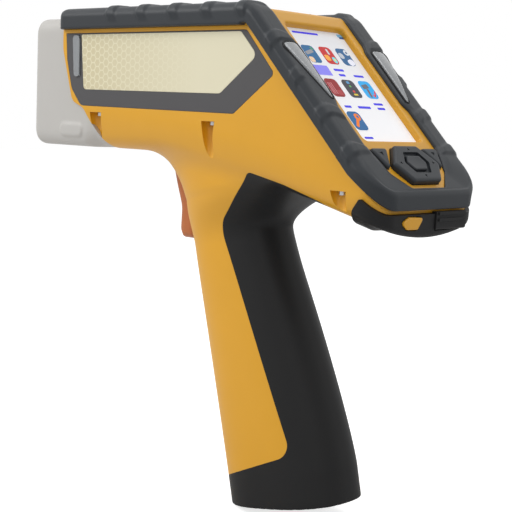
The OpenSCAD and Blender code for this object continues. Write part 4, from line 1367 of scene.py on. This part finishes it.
@dataclass
class Nose:
    """The grey nose: a rounded box with a raised oval on each side, cut along its slanted back."""

    shell: Shell
    half: float = 36.6
    top: float = 233.0
    window_z: float = 200.0
    film_r: float = 9.1
    button: tuple[float, float] = (-12.0, 181.0)
    oval_mid: tuple[float, float] = (-132.5, 175.0)
    oval_half: float = 5.6
    oval_r: float = 3.6
    oval_rise: float = 0.9
    flush_x: tuple[float, float] = (-136.0, -113.0)
    slot: tuple[tuple[float, float], tuple[float, float]] = ((-139.6, 216.0), (-133.6, 194.5))

    def field(self, x: Array, y: Array, z: Array) -> Array:
        """The nose's field: sides, top, bottom and front with soft edges, and the raised ovals.

        Towards its back it runs into the body's field, so that nose and housing are flush.

        Args:
            x, y, z: where the field is asked for, in millimetres.

        Returns:
            The field there: below zero inside.
        """
        shell = self.shell
        side = np.abs(y) - self.half
        upright = np.maximum(z - self.top, shell.under_z - z)
        box = smooth_max(smooth_max(side, upright, 8.0), shell.nose_x - x, 5.5)
        reach = np.maximum(np.abs(x - self.oval_mid[0]) - self.oval_half, 0)
        flat = np.hypot(reach, z - self.oval_mid[1]) - self.oval_r
        nose = smooth_min(box, smooth_max(flat, side - self.oval_rise, 1.6), 0.8)
        flush = shell.body(x, y, z) + 0.15 - 9.0 * (1 - smooth_step(self.flush_x[0],
                                                                    self.flush_x[1], x))
        return smooth_max(nose, flush, 2.0)

    def view(self) -> Array:
        """The side view of the nose.

        Returns:
            The outline [x, z].
        """
        shell = self.shell
        ahead, above = shell.nose_x - 5, 245
        return rounded([[ahead, above, 0], [ahead, 157, 0], *shell.nose_line(),
                        [shell.seat_x, above, 0]], 8)

    def build(self) -> None:
        """Builds the nose cover."""
        shell = self.shell
        points, faces = net(self.field, (shell.nose_x - 2, -39.5, shell.under_z - 2),
                            (shell.seat_x + 40, 39.5, self.top + 2), 0.8)
        nose = solid("nose_shell", points, faces.tolist())
        carve(nose, prism("view", self.view(), -60, 60, on_side_view), "INTERSECT")
        for y, z, radius, depth in ((0, self.window_z, self.film_r, 0.35),
                                    (0, self.window_z, 7.0, 9.0),
                                    (*self.button, 4.1, 9.0)):
            carve(nose, self.drill(y, z, radius, depth))
        carve(nose, self.slots())
        finish_piece(nose, "body", NOSE, ["nose_cover"])

    def drill(self, y: float, z: float, radius: float, depth: float) -> bpy.types.Object:
        """A round tool into the nose's face.

        Args:
            y, z: the hole's middle.
            radius: its radius.
            depth: how far it goes in behind the nose's front.

        Returns:
            The tool for carve.
        """
        t = np.linspace(0, 2 * math.pi, 49)[:-1]
        ring = np.stack([y + radius * np.cos(t), z + radius * np.sin(t)], 1)
        return prism("drill", ring, self.shell.nose_x - 5, self.shell.nose_x + depth,
                     lambda q, x: np.column_stack([np.full(len(q), x), q]))

    def slots(self) -> bpy.types.Object:
        """The thin slot along the back edge of each side.

        Returns:
            Both slots as one object.
        """
        (x0, z0), (x1, z1) = self.slot
        wide = 0.7
        view = np.array([[x0, z0], [x1, z1], [x1 + wide, z1], [x0 + wide, z0]])
        return join([prism("slot", view, s * 35.4, s * 42, on_side_view) for s in (-1, 1)])


# ---------------------------------------------------------------------------------------------
# Moulded pieces over an outline
# ---------------------------------------------------------------------------------------------

def outline_distance(outline: Array, x: Array, y: Array) -> Array:
    """Distance of points from a closed outline, negative inside.

    Args:
        outline: (n, 2) array.
        x: First coordinates.
        y: Second coordinates, which may be on another axis of the lattice.

    Returns:
        The distances, in the common shape of x and y.
    """
    near = np.full(np.broadcast(x, y).shape, np.inf)
    turns = np.zeros(near.shape, bool)
    for (ax, ay), (bx, by) in zip(outline, np.roll(outline, -1, axis=0)):
        ex, ey = bx - ax, by - ay
        t = np.clip(((x - ax) * ex + (y - ay) * ey) / (ex * ex + ey * ey), 0, 1)
        near = np.minimum(near, (x - ax - t * ex) ** 2 + (y - ay - t * ey) ** 2)
        if ay != by:
            turns ^= ((ay > y) != (by > y)) & (x < ax + (y - ay) * ex / ey)
    return np.where(turns, -1, 1) * np.sqrt(near)


def moulded(name: str, outline: Array, low: float, high: float, edge: float,
            lay: Callable[[Array, float], Array],
            step: float = 0.5, dish: float = 0.0) -> bpy.types.Object:
    """A solid over an outline with soft edges at its top, as a moulded key or trigger has.

    Args:
        name: Name of the object.
        outline: (n, 2) array.
        low: Height of its lower end.
        high: Height of its upper end.
        edge: Width over which side and end run together.
        lay: Places points at heights.
        step: Size of a lattice cell.
        dish: How far the top stands higher in the middle, or lower where negative.

    Returns:
        The new object.
    """
    lo, hi = outline.min(0), outline.max(0)
    middle, half = (lo + hi) / 2, (hi - lo) / 2

    def value(a: Array, b: Array, n: Array) -> Array:
        """The field over the outline, dished towards its rim.

        Args:
            a: first coordinate in the outline's plane.
            b: second coordinate in the outline's plane.
            n: height along the piece's thickness.

        Returns:
            The field, negative inside the piece.
        """
        crown = dish * (((a - middle[0]) / half[0]) ** 2 + ((b - middle[1]) / half[1]) ** 2)
        return smooth_max(outline_distance(outline, a, b), np.maximum(low - n, n - high + crown),
                          edge)

    points, faces = net(value, (*(lo - 1.5), low - 1.5), (*(hi + 1.5), high + 1.5), step)
    obj = solid(name, lay(points[:, :2], points[:, 2]), faces.tolist())
    face_outwards(obj)
    return obj


def box_outline(low: Sequence[float], high: Sequence[float], radius: float,
                steps: int = 8) -> Array:
    """A rectangle with round corners."""
    (a, b), (c, d) = low, high
    return rounded([[a, b, radius], [c, b, radius], [c, d, radius], [a, d, radius]], steps)


def linear(code: str) -> tuple[float, float, float]:
    """The linear colour of a hex code: above 0.04 it is ((c + 0.055) / 1.055) to the power 2.4."""
    c = np.array([int(code[i:i + 2], 16) / 255 for i in (0, 2, 4)])
    return tuple(np.where(c > 0.04045, ((c + 0.055) / 1.055) ** 2.4, c / 12.92).tolist())


# ---------------------------------------------------------------------------------------------
# Top cover, display and keys
# ---------------------------------------------------------------------------------------------

@dataclass
class Opening:
    """The display's opening in the cover."""

    start: float = 8.0
    keypad_l: float = 29.0
    half: float = 22.25
    corner: float = 2.5
    lip: float = 1.3

    def corners(self, end: float) -> list[list[float]]:
        """Its corners [u, y, radius]."""
        return [[self.start, -self.half, self.corner], [end, -self.half, self.corner],
                [end, self.half, self.corner], [self.start, self.half, self.corner]]


@dataclass
class Keys:
    """The keypad: a raised six-sided pad round the select key, and a key on each side."""

    shell: Shell
    place: float = 94.64
    depth: float = 5.0
    gap: float = 0.35
    nav: tuple[float, float, float] = (10.2, 17.5, 3.0)
    key_rise: float = 1.8
    inner_y: float = 27.2
    ring: tuple[float, float] = (5.9, 9.4)
    select: tuple[float, float] = (4.3, 7.5)

    def nav_corners(self) -> list[list[float]]:
        """Corners [u, y, radius] of the navigation pad.

        Returns:
            The corners, in order round the pad.
        """
        half_u, half_y, _ = self.nav
        return [[-half_u, -8.4, 2], [0.6, -half_y, 2.5], [half_u, -10.6, 2], [half_u, 10.6, 2],
                [0.6, half_y, 2.5], [-half_u, 8.4, 2]]

    def key_corners(self, side: int) -> list[list[float]]:
        """Corners of a side key.

        Args:
            side: 1 where y is positive, -1 on the other side.

        Returns:
            The corners [u, y, radius].
        """
        top = -self.nav[0] + 0.6
        corners = [[top, 13.2, 1.2], [2.9, 20.4, 1.2], [top, self.inner_y - 1.4, 1.6]]
        return [[u, side * y, r] for u, y, r in corners]

    def six_sided(self, size: tuple[float, float], radius: float) -> Array:
        """A long six-sided outline, with its points to the left and right.

        Args:
            size: half the outline's length down the slope, and half its width.
            radius: the radius of its corners.

        Returns:
            The outline [u, y].
        """
        u, y = size
        return rounded([[-u, -y + 0.62 * u, radius], [0, -y, radius], [u, -y + 0.62 * u, radius],
                        [u, y - 0.62 * u, radius], [0, y, radius], [-u, y - 0.62 * u, radius]], 5)

    def lay(self, q: Array, n: float) -> Array:
        """Points of the keypad's own frame."""
        return self.shell.on_face(q[:, 0] + self.place, q[:, 1], n)

    def build(self) -> None:
        """Builds the four keys."""
        rise = self.nav[2]
        pad = moulded("navigation_pad", grown(self.nav_corners(), 0.0), -self.depth, rise, 1.7,
                      self.lay, 0.45)
        carve(pad, prism("ring", self.six_sided(self.ring, 1.2), rise - 1.3, rise + 3, self.lay))
        carve(pad, prism("hole", self.six_sided(self.select, 1.0), -self.depth - 3, rise + 3,
                         self.lay))
        for u, y in ((-7.6, 0.0), (7.6, 0.0), (0.3, -12.4), (0.3, 12.4)):
            carve(pad, prism("mark", self.arrow(u, y), rise - 0.45, rise + 3, self.lay))
        finish_piece(pad, "nav_pad", CHARCOAL, ["nav_pad"])
        inner = (self.select[0] - self.gap, self.select[1] - self.gap)
        select = moulded("select_key_cap", self.six_sided(inner, 0.9), -self.depth, rise - 0.15,
                         0.9, self.lay,
                         0.35, dish=-0.25)
        finish_piece(select, "select_key", CHARCOAL, ["select_key"])
        for side, name in ((-1, "left_key"), (1, "right_key")):
            key = moulded(name + "_cap", grown(self.key_corners(side), 0.0), -self.depth,
                          self.key_rise, 1.4,
                          self.lay, 0.4)
            carve(key, prism("mark", self.arrow(-6.2, side * 20.0, 1.5), self.key_rise - 0.4, 5,
                             self.lay))
            finish_piece(key, name, CHARCOAL, [name])

    @staticmethod
    def arrow(u: float, y: float, size: float = 1.0) -> Array:
        """A small triangle that points away from the pad's middle.

        Args:
            u: its middle's place down the slope.
            y: its middle's place across.
            size: the length from its middle to a corner.

        Returns:
            Its three corners [u, y].
        """
        away = math.atan2(y, u)
        angle = away + np.array([0.0, 2.2, -2.2])
        return np.array([u, y]) + size * np.stack([np.cos(angle), np.sin(angle)], 1)


@dataclass
class Cover:
    """The top cover: two sloping plates of one piece, open over the display and the keys."""

    shell: Shell
    keys: Keys
    opening: Opening = field(default_factory=Opening)
    wall: float = 3.0
    seat: float = 2.0
    brow_r: float = 5.0

    def view(self, drop: float, low: float, front: float, tail: float) -> Array:
        """The side view of what lies between drop and low under the outer face.

        Args:
            drop: how far the upper line lies under the outer face.
            low: how far the lower line lies over the parting plane.
            front, tail: where the view ends along X.

        Returns:
            The outline [x, z].
        """
        shell = self.shell
        t = math.tan(shell.slope)
        bend = shell.brow_x - drop * math.tan(shell.slope / 2)
        foot = shell.split_z + low - (tail - shell.brow_mid) * t
        return rounded([[front, shell.split_z + low, 0], [shell.brow_mid, shell.split_z + low, 0],
                        [tail, foot, 0],
                        [tail, shell.top_z - drop - (tail - bend) * t, 0],
                        [bend, shell.top_z - drop, max(self.brow_r - drop, 0.5)],
                        [front, shell.top_z - drop, 0]])

    def plan(self, inset: float) -> Array:
        """The plan view, drawn in by inset.

        Args:
            inset: how far the sides and the tail are drawn in.

        Returns:
            The outline [x, y].
        """
        shell = self.shell
        w, r = shell.side_y - inset, shell.tail_r - inset
        return rounded([[shell.seat_x - 1, -w, 0], [shell.tail_x - inset, -w, r],
                        [shell.tail_x - inset, w, r],
                        [shell.seat_x - 1, w, 0]], 12)

    def build(self) -> None:
        """Builds the cover."""
        shell = self.shell
        front = shell.seat_x + 0.1

        def flat(q: Array, z: float) -> Array:
            """The points q of a plan, at the height z."""
            return np.column_stack([q, np.full(len(q), z)])

        cover = prism("top_cover_shell", self.view(0, 0.1, front, shell.tail_x + 5), -60, 60,
                      on_side_view)
        carve(cover, prism("plan", self.plan(0), 100, 260, flat), "INTERSECT")
        inside = prism("inside", self.view(self.wall, -20, front - 5, shell.tail_x - self.wall),
                       -60, 60, on_side_view)
        carve(inside, prism("plan", self.plan(self.wall), 90, 270, flat), "INTERSECT")
        carve(cover, inside)
        carve(cover, self.rebate())
        end = shell.face_l - self.opening.keypad_l
        carve(cover, self.mouth(end))
        for corners in (self.keys.nav_corners(), self.keys.key_corners(-1),
                        self.keys.key_corners(1)):
            carve(cover, prism("key_hole", grown(corners, self.keys.gap), -9, 9, self.keys.lay))
        finish_piece(cover, "body", YELLOW, ["top_cover"])

    def rebate(self) -> bpy.types.Object:
        """What the bumper lies in: strips along both edges, lowered by the seat's depth.

        Returns:
            The strips, as one tool for carve.
        """
        shell = self.shell
        t = math.tan(shell.slope)
        bend = shell.brow_x - self.seat * math.tan(shell.slope / 2)
        high, far = shell.top_z + 30, shell.tail_x + 60
        view = np.array([[shell.seat_x - 9, shell.top_z - self.seat],
                         [bend, shell.top_z - self.seat],
                         [far, shell.top_z - self.seat - (far - bend) * t], [far, high],
                         [shell.seat_x - 9, high]])
        inner_y = self.keys.inner_y
        return join([prism("rebate", view, s * inner_y, s * 60, on_side_view) for s in (-1, 1)])

    def mouth(self, end: float) -> bpy.types.Object:
        """The display's opening, which widens in a quarter circle at its upper edge.

        Args:
            end: where the opening ends, as a length down the display's face.

        Returns:
            The tool for carve.
        """
        opening = self.opening
        turn = np.linspace(0, math.pi / 2, 8)
        grows = np.concatenate([[0.0], opening.lip * (1 - np.cos(turn)), [opening.lip]])
        highs = np.concatenate([[-9.0], opening.lip * (np.sin(turn) - 1), [9.0]])
        rings = [self.shell.lay_face(grown(opening.corners(end), g, 8), n)
                 for g, n in zip(grows, highs)]
        return sweep("mouth", np.stack(rings))


@dataclass(frozen=True)
class Mark:
    """One flat mark of the display's picture.

    Attributes:
        u: Its middle down the slope.
        y: Its middle across.
        size: Length and width.
        colour: Hex code.
        radius: Radius of its corners.
        turn: Angle, in degrees.
    """

    u: float
    y: float
    size: tuple[float, float]
    colour: str
    radius: float = 0.3
    turn: float = 0.0

    def outline(self) -> Array:
        """Its outline [u, y].

        Returns:
            The outline's points.
        """
        a, b = self.size[0] / 2, self.size[1] / 2
        q = box_outline((-a, -b), (a, b), min(self.radius, 0.98 * a, 0.98 * b), 5)
        c, s = math.cos(math.radians(self.turn)), math.sin(math.radians(self.turn))
        return np.array([self.u, self.y]) + q @ np.array([[c, s], [-s, c]])


@dataclass
class Screen:
    """The display under its glass: a pale ground with a grid of plain icons and caption bars."""

    shell: Shell
    opening: Opening = field(default_factory=Opening)
    lap: float = 2.0
    depth: float = 3.02
    glass_t: float = 1.15
    columns: tuple[float, float, float] = (-12.8, 0.0, 12.7)
    rows: tuple[float, float, float] = (24.5, 45.4, 65.4)
    tile: tuple[float, float] = (11.0, 9.0)
    caption: str = "3a34e0"

    def icon(self, row: int, column: int, ground: str, marks: Sequence[tuple]) -> list[Mark]:
        """A tile and its marks (u, y, length, width, colour, radius, turn) from its middle.

        Args:
            row, column: the tile's place.
            ground: the tile's colour.
            marks: what lies on it.

        Returns:
            The tile, and then its marks.
        """
        u, y = self.rows[row], self.columns[column]
        tile = Mark(u, y, self.tile, ground, 2.2)
        return [tile] + [Mark(u + m[0], y + m[1], (m[2], m[3]), m[4], m[5],
                              m[6] if len(m) > 6 else 0.0) for m in marks]

    def marks(self) -> list[Mark]:
        """All the picture's marks.

        Returns:
            The caption bars and patches, then the icons.
        """
        low, mid, high = self.columns
        bars = [Mark(10.7, -6.6, (1.3, 19.0), self.caption, 0.5),
                Mark(9.9, 20.4, (2.0, 4.6), "6fa9cf", 0.3),
                Mark(11.3, 20.6, (1.3, 3.6), "23548f", 0.2),
                Mark(34.6, -12.4, (6.2, 10.2), "8782ee", 0.3),
                Mark(33.7, mid, (1.4, 7.4), self.caption, 0.5),
                Mark(36.9, mid, (1.4, 4.8), self.caption, 0.5),
                Mark(36.8, high, (1.3, 7.6), self.caption, 0.5),
                Mark(56.8, low + 0.4, (1.3, 5.0), self.caption, 0.5),
                Mark(56.9, mid - 0.2, (1.4, 9.6), self.caption, 0.5),
                Mark(54.4, high, (1.3, 7.2), self.caption, 0.5),
                Mark(57.2, high, (1.3, 5.8), self.caption, 0.5),
                Mark(75.4, low, (1.2, 6.4), self.caption, 0.5)]
        cog = [(-3.0, 3.0, 3.6, 3.6, "d5dbe2", 1.8), (-3.0, 3.0, 1.4, 1.4, "2b4f7c", 0.7),
               (-0.6, -2.6, 3.8, 3.6, "b9c0c9", 1.6), (3.4, 1.9, 3.8, 5.0, "e4e6f4", 1.7, 20.0)]
        icons = (self.icon(0, 0, "125f92", [(-1.2, -0.6, 2.0, 6.6, "8f9097", 0.7, 18.0),
                                            (3.6, -2.2, 3.4, 3.6, "e9c8a6", 1.2),
                                            (-3.6, 2.8, 2.2, 1.0, "4f9f5a", 0.4, 30.0)])
                 + self.icon(0, 1, "bf1418", [(-2.4, 1.0, 3.6, 1.3, "cfd6da", 0.5),
                                              (1.6, -2.0, 3.8, 3.6, "f0a63c", 1.3),
                                              (2.8, 2.4, 4.0, 2.8, "6fd4e0", 1.3),
                                              (2.8, 2.4, 1.6, 1.2, "e8e04a", 0.5)])
                 + self.icon(0, 2, "14598c", cog)
                 + self.icon(1, 0, "8e1216", [(0.4, y, 7.0, 0.6, "c9787c", 0.2)
                                              for y in (-3.0, -1.9, -0.6)]
                             + [(3.0, 1.8, 3.0, 3.6, "a83a3e", 0.6)])
                 + self.icon(1, 1, "33343e", [(-3.8, 0.0, 1.6, 2.2, "4f93c4", 0.5),
                                              (-1.5, 0.0, 1.2, 1.6, "57a557", 0.5),
                                              (1.8, 0.1, 1.4, 1.5, "d83a3a", 0.5),
                                              (3.7, 0.1, 1.1, 3.0, "e0c53a", 0.4)])
                 + self.icon(1, 2, "22a7ea", [(-1.9, -1.0, 2.6, 5.2, "5d6472", 0.7, 12.0),
                                              (2.2, -0.9, 5.4, 1.6, "6c5a60", 0.4, -8.0),
                                              (2.6, 3.0, 4.4, 0.9, "e02c2c", 0.3, -32.0),
                                              (3.9, 1.5, 2.0, 0.9, "e02c2c", 0.3, 40.0)])
                 + self.icon(2, 0, "14619b", [(1.2, -0.8, 6.2, 1.7, "f07a14", 0.6, -38.0),
                                              (-2.2, 1.6, 4.2, 4.0, "f07a14", 1.9),
                                              (-2.4, 1.9, 1.5, 1.5, "14619b", 0.6)]))
        return bars + list(icons)

    def build(self) -> None:
        """Builds the plate with its marks as one piece."""
        end = self.shell.face_l - self.opening.keypad_l
        plate = box_outline((self.opening.start - self.lap, -self.opening.half - self.lap),
                            (end + self.lap, self.opening.half + self.lap), 0.5, 3)
        points, faces, tints, start = [], [], [], 0
        layers = [(plate, -self.depth - self.glass_t, -self.depth, None)]
        layers += [(m.outline(), -self.depth + 0.01, -self.depth + 0.03 + 0.004 * i, m.colour)
                   for i, m in enumerate(self.marks())]
        for outline, low, high, colour in layers:
            count = len(outline)
            ring = np.concatenate([self.shell.lay_face(outline, low),
                                   self.shell.lay_face(outline, high)])
            k = np.arange(count)
            quads = np.stack([k, (k + 1) % count, (k + 1) % count + count, k + count], 1) + start
            points.append(ring)
            faces += quads.tolist() + [(start + k[::-1]).tolist(), (start + count + k).tolist()]
            tints.append(self.ground(np.tile(outline[:, 0], 2)) if colour is None
                         else np.tile([*linear(colour), 1.0], (2 * count, 1)))
            start += 2 * count
        obj = solid("display_picture", np.concatenate(points), faces)
        tint = obj.data.color_attributes.new("tint", "FLOAT_COLOR", "POINT")
        tint.data.foreach_set("color", np.concatenate(tints).ravel())
        face_outwards(obj)
        finish_piece(obj, "body", SCREEN, ["display_glass"])

    def ground(self, u: Array) -> Array:
        """The ground's colour: it grows paler down the slope.

        Args:
            u: lengths down the slope.

        Returns:
            Red, green, blue and alpha for each length.
        """
        share = smooth_step(6.0, 74.0, u)[:, None]
        top, foot = np.array(linear("d9dade")), np.array(linear("f6f6f9"))
        return np.column_stack([top + (foot - top) * share, np.ones(len(u))])


@dataclass
class Lenses:
    """The clear lenses: one on each side of the bumper."""

    shell: Shell
    inner_y: float = 27.2
    top: float = 2.9

    def build(self) -> None:
        """Builds the two lenses on the bumper."""
        for side, name in ((-1, "left"), (1, "right")):
            corners = [[24, 0.8, 2], [57, 0.6, 0.9], [57, 2.6, 0.9], [37, 8.4, 7], [24, 11.6, 3]]
            corners = [[u, side * (self.inner_y + y), r] for u, y, r in corners]
            lens = moulded("status_lens_" + name, grown(corners, 0.0), 1.2, self.top + 0.3, 1.0,
                           self.shell.lay_face, 0.4, dish=0.5)
            finish_piece(lens, "body", LENS, ["display_lens_" + name])
            frame_round = moulded("status_lens_frame_" + name, grown(corners, 0.8), 1.0,
                                  self.top - 0.45, 0.5,
                                  self.shell.lay_face, 0.4)
            carve(frame_round, prism("cut", grown(corners, 0.06), 0.0, 9.0, self.shell.lay_face))
            finish_piece(frame_round, "body", BLACK)


@dataclass
class Tail:
    """The rubber shroud under the tail, along the housing's soft edges, and its yellow tab."""

    shell: Shell
    wall: float = 1.7
    bow: float = 6.0
    edge: float = 4.0
    seam: float = 0.1
    flap_y: tuple[float, float] = (3.0, 27.0)
    flap_foot: float = 139.0
    flap_gap: float = 0.3
    tab_gap: float = 0.35
    tab_x: tuple[float, float] = (0.12, 2.6)
    cell: float = 0.8

    def view(self) -> Array:
        """The shroud's side view.

        Returns:
            The outline [x, z].
        """
        x = self.shell.tail_x
        return rounded([[x - 8.9, 153.1, 0.8], [x + 0.2, 146.2, 2], [x + 14, 146.2, 0],
                        [x + 14, 120, 0],
                        [x - 31, 120, 0], [x - 14.6, 145.4, 1]], 5)

    def tab(self, grow: float) -> Array:
        """The tab's outline across the tail [y, z].

        Args:
            grow: how far each edge moves out.

        Returns:
            The outline [y, z].
        """
        return grown([[-22.8, 142.9, 1.0], [-18.6, 139.9, 1.6], [-11.0, 139.7, 1.6],
                      [-6.6, 144.9, 1.0],
                      [-17.6, 145.4, 1.6]], grow)

    def field(self, x: Array, y: Array, z: Array) -> Array:
        """The shroud's outer field: the plan grown by the wall, above a bowed floor.

        The floor rises by the square of y towards the sides, and grows thicker towards the tail.

        Args:
            x, y, z: where the field is asked for, in millimetres.

        Returns:
            The field there: below zero inside the shroud.
        """
        shell = self.shell
        depth = self.wall * (0.5 + 0.8 * smooth_step(shell.tail_x - 27, shell.tail_x - 2, x))
        floor = shell.under(x) - depth + self.bow * (y / shell.side_y) ** 2
        outer = smooth_max(shell.plan(x, y) - self.wall, floor - z, self.edge)
        return smooth_min(outer, shell.form(x, y, z) - self.wall, 1.0)

    def build(self) -> None:
        """Builds the shroud and the tab."""
        shell = self.shell

        def form(name: str, value: Field) -> bpy.types.Object:
            """The field's zero level round the tail, as a closed mesh."""
            points, faces = net(value, (30.0, -42.0, 118.0), (74.0, 42.0, 162.0), self.cell)
            return solid(name, points, faces.tolist())

        def behind(q: Array, x: float) -> Array:
            """The points q = [y, z] of a view from behind, at x."""
            return np.column_stack([np.full(len(q), x), q])

        x = shell.tail_x
        shroud = form("rubber_tail_shroud", self.field)
        carve(shroud, prism("view", self.view(), -60, 60, on_side_view), "INTERSECT")
        carve(shroud, form("housing", lambda x, y, z: shell.form(x, y, z) - self.seam))
        (low, high), gap = self.flap_y, self.flap_gap
        port = box_outline((low - gap, self.flap_foot - gap), (high + gap, 170.0), 0.4, 3)
        carve(shroud, prism("port", port, x - 5, x + 20, behind))
        carve(shroud, prism("notch", self.tab(self.tab_gap), x - 5, x + 20, behind))
        finish_piece(shroud, "body", BLACK, ["tail_shroud"])
        near, far = self.tab_x
        tab = moulded("tail_tab", self.tab(0.0), x + near, x + far, 0.8, behind, 0.35)
        finish_piece(tab, "body", YELLOW)


@dataclass
class Trigger:
    """The copper-coloured trigger, hollowed for the finger."""

    pivot: tuple[float, float] = (-66.0, 157.0)
    length: float = 35.0
    width: float = 15.0

    def build(self) -> None:
        """Builds the trigger."""
        x, z = self.pivot
        foot = z - self.length
        outline = rounded([[x + 6, z + 4.5, 3], [x - 21.2, z + 1.5, 2.5], [x - 18.3, z - 8, 12],
                           [x - 14.4, z - 19, 14], [x - 14.8, foot + 4, 6], [x - 12.6, foot, 1.8],
                           [x - 3, foot, 3],
                           [x - 1.5, z - 12, 14], [x + 6, z - 5, 3]], 8)
        half = self.width / 2
        blade = moulded("trigger_blade", outline, -half, half, 5.0,
                        lambda q, y: np.stack([q[:, 0], y * np.ones(len(q)), q[:, 1]], 1), 0.5)
        finish_piece(blade, "trigger", COPPER, ["trigger"])


# ---------------------------------------------------------------------------------------------
# Camera, light and floor
# ---------------------------------------------------------------------------------------------

@dataclass
class Studio:
    """A pale floor under soft light, and the camera."""

    place: tuple[float, float, float] = (0.36333, -0.44895, 0.18585)
    yaw: float = 0.72262
    pitch: float = 0.11491
    roll: float = 0.0403
    lens: float = 85.2
    sensor: float = 36.0
    room_light: float = 0.42
    lamps: tuple[tuple[str, tuple[float, float, float], float, float], ...] = (
        ("key", (-0.75, -0.95, 1.05), 0.9, 13.0),
        ("fill", (1.1, -0.75, 0.75), 1.0, 2.0),
        ("top", (0.25, 0.3, 1.5), 1.0, 6.0))
    aim: tuple[float, float, float] = (-0.03, 0.0, 0.14)
    floor_reach: float = 4000.0
    floor_glow: float = 0.74

    def build(self) -> None:
        """Builds camera, world, lamps and floor."""
        self.camera()
        self.world()
        for name, place, size, power in self.lamps:
            self.lamp(name, place, size, power)
        self.floor()
        bpy.context.scene.view_settings.view_transform = "Standard"

    def camera(self) -> None:
        """The camera, from its place and its three angles."""
        cy, sy = math.cos(self.yaw), math.sin(self.yaw)
        forward = Vector((-sy * math.cos(self.pitch), cy * math.cos(self.pitch),
                          -math.sin(self.pitch)))
        level = Vector((cy, sy, 0.0))
        upright = level.cross(forward)
        c, s = math.cos(self.roll), math.sin(self.roll)
        right, up = c * level + s * upright, c * upright - s * level
        data = bpy.data.cameras.new("camera")
        data.lens, data.sensor_width, data.clip_start = self.lens, self.sensor, 0.01
        obj = bpy.data.objects.new("camera", data)
        turn = Matrix((right, up, -forward)).transposed().to_4x4()
        obj.matrix_world = Matrix.Translation(self.place) @ turn
        bpy.context.scene.collection.objects.link(obj)
        bpy.context.scene.camera = obj

    def world(self) -> None:
        """An even pale room, white where the camera, gloss or glass sees it."""
        world = bpy.data.worlds.new("room")
        bpy.context.scene.world = world
        world.use_nodes = True
        tree = world.node_tree
        tree.nodes.clear()
        path = tree.nodes.new("ShaderNodeLightPath")
        seen = tree.nodes.new("ShaderNodeMath")
        seen.operation = "MAXIMUM"
        clear = tree.nodes.new("ShaderNodeMath")
        clear.operation = "MAXIMUM"
        tree.links.new(path.outputs["Is Glossy Ray"], clear.inputs[0])
        tree.links.new(path.outputs["Is Transmission Ray"], clear.inputs[1])
        tree.links.new(path.outputs["Is Camera Ray"], seen.inputs[0])
        tree.links.new(clear.outputs[0], seen.inputs[1])
        strength = tree.nodes.new("ShaderNodeMapRange")
        strength.inputs["To Min"].default_value = self.room_light
        strength.inputs["To Max"].default_value = 1.0
        tree.links.new(seen.outputs[0], strength.inputs["Value"])
        back = tree.nodes.new("ShaderNodeBackground")
        back.inputs["Color"].default_value = (1.0, 1.0, 1.0, 1.0)
        tree.links.new(strength.outputs[0], back.inputs["Strength"])
        out = tree.nodes.new("ShaderNodeOutputWorld")
        tree.links.new(back.outputs[0], out.inputs[0])

    def lamp(self, name: str, place: tuple[float, float, float], size: float, power: float) -> None:
        """A square lamp that faces the middle of the analyzer.

        Args:
            name: the lamp's name.
            place: where it stands, in metres.
            size: the length of its side, in metres.
            power: its power, in watts.
        """
        data = bpy.data.lights.new(name, "AREA")
        data.size, data.energy = size, power
        obj = bpy.data.objects.new(name, data)
        aim = Vector(self.aim) - Vector(place)
        obj.matrix_world = Matrix.Translation(place) @ aim.to_track_quat("-Z",
                                                                         "Y").to_matrix().to_4x4()
        bpy.context.scene.collection.objects.link(obj)

    def floor(self) -> None:
        """A white floor that keeps the shadow, with a little of its own white to the eye."""
        low = CAD_BOX[0][2] / MM
        reach = self.floor_reach
        q = np.array([[-reach, -reach, low], [reach, -reach, low], [reach, reach, low],
                      [-reach, reach, low]])
        obj = solid("floor", q, [[0, 1, 2, 3]])
        material = bpy.data.materials.new("floor")
        nodes = Nodes(material)
        path = nodes.add("LightPath").outputs["Is Camera Ray"]
        seen = nodes.math("MULTIPLY", path, self.floor_glow)
        glow = nodes.add("Emission", Color=(1.0, 1.0, 1.0, 1.0), Strength=seen)
        plain = nodes.add("BsdfDiffuse", Color=(0.8, 0.8, 0.8, 1.0))
        both = nodes.add("AddShader")
        nodes.tree.links.new(glow.outputs[0], both.inputs[0])
        nodes.tree.links.new(plain.outputs[0], both.inputs[1])
        nodes.add("OutputMaterial", Surface=both.outputs[0])
        obj.data.materials.append(material)


def dress_nodes() -> None:
    """Gives every carried-over node the finish of its slot in the record."""
    for entry in frame["record"]["subparts"]:
        node = frame["nodes"][entry["node"]]
        node.data.materials.clear()
        node.data.materials.append(FINISHES[entry["material_slot"]].material())


def main() -> None:
    """Builds the sub-assemblies in order."""
    logging.basicConfig(level=logging.INFO, format="%(name)s %(message)s", stream=sys.stdout)
    Studio().build()
    dress_nodes()
    shell = Shell()
    shell.build()
    Bumper(shell).build()
    Nose(shell).build()
    keys = Keys(shell)
    keys.build()
    Cover(shell, keys).build()
    Screen(shell).build()
    Lenses(shell).build()
    Tail(shell).build()
    Trigger().build()


if __name__ == "__main__":
    main()
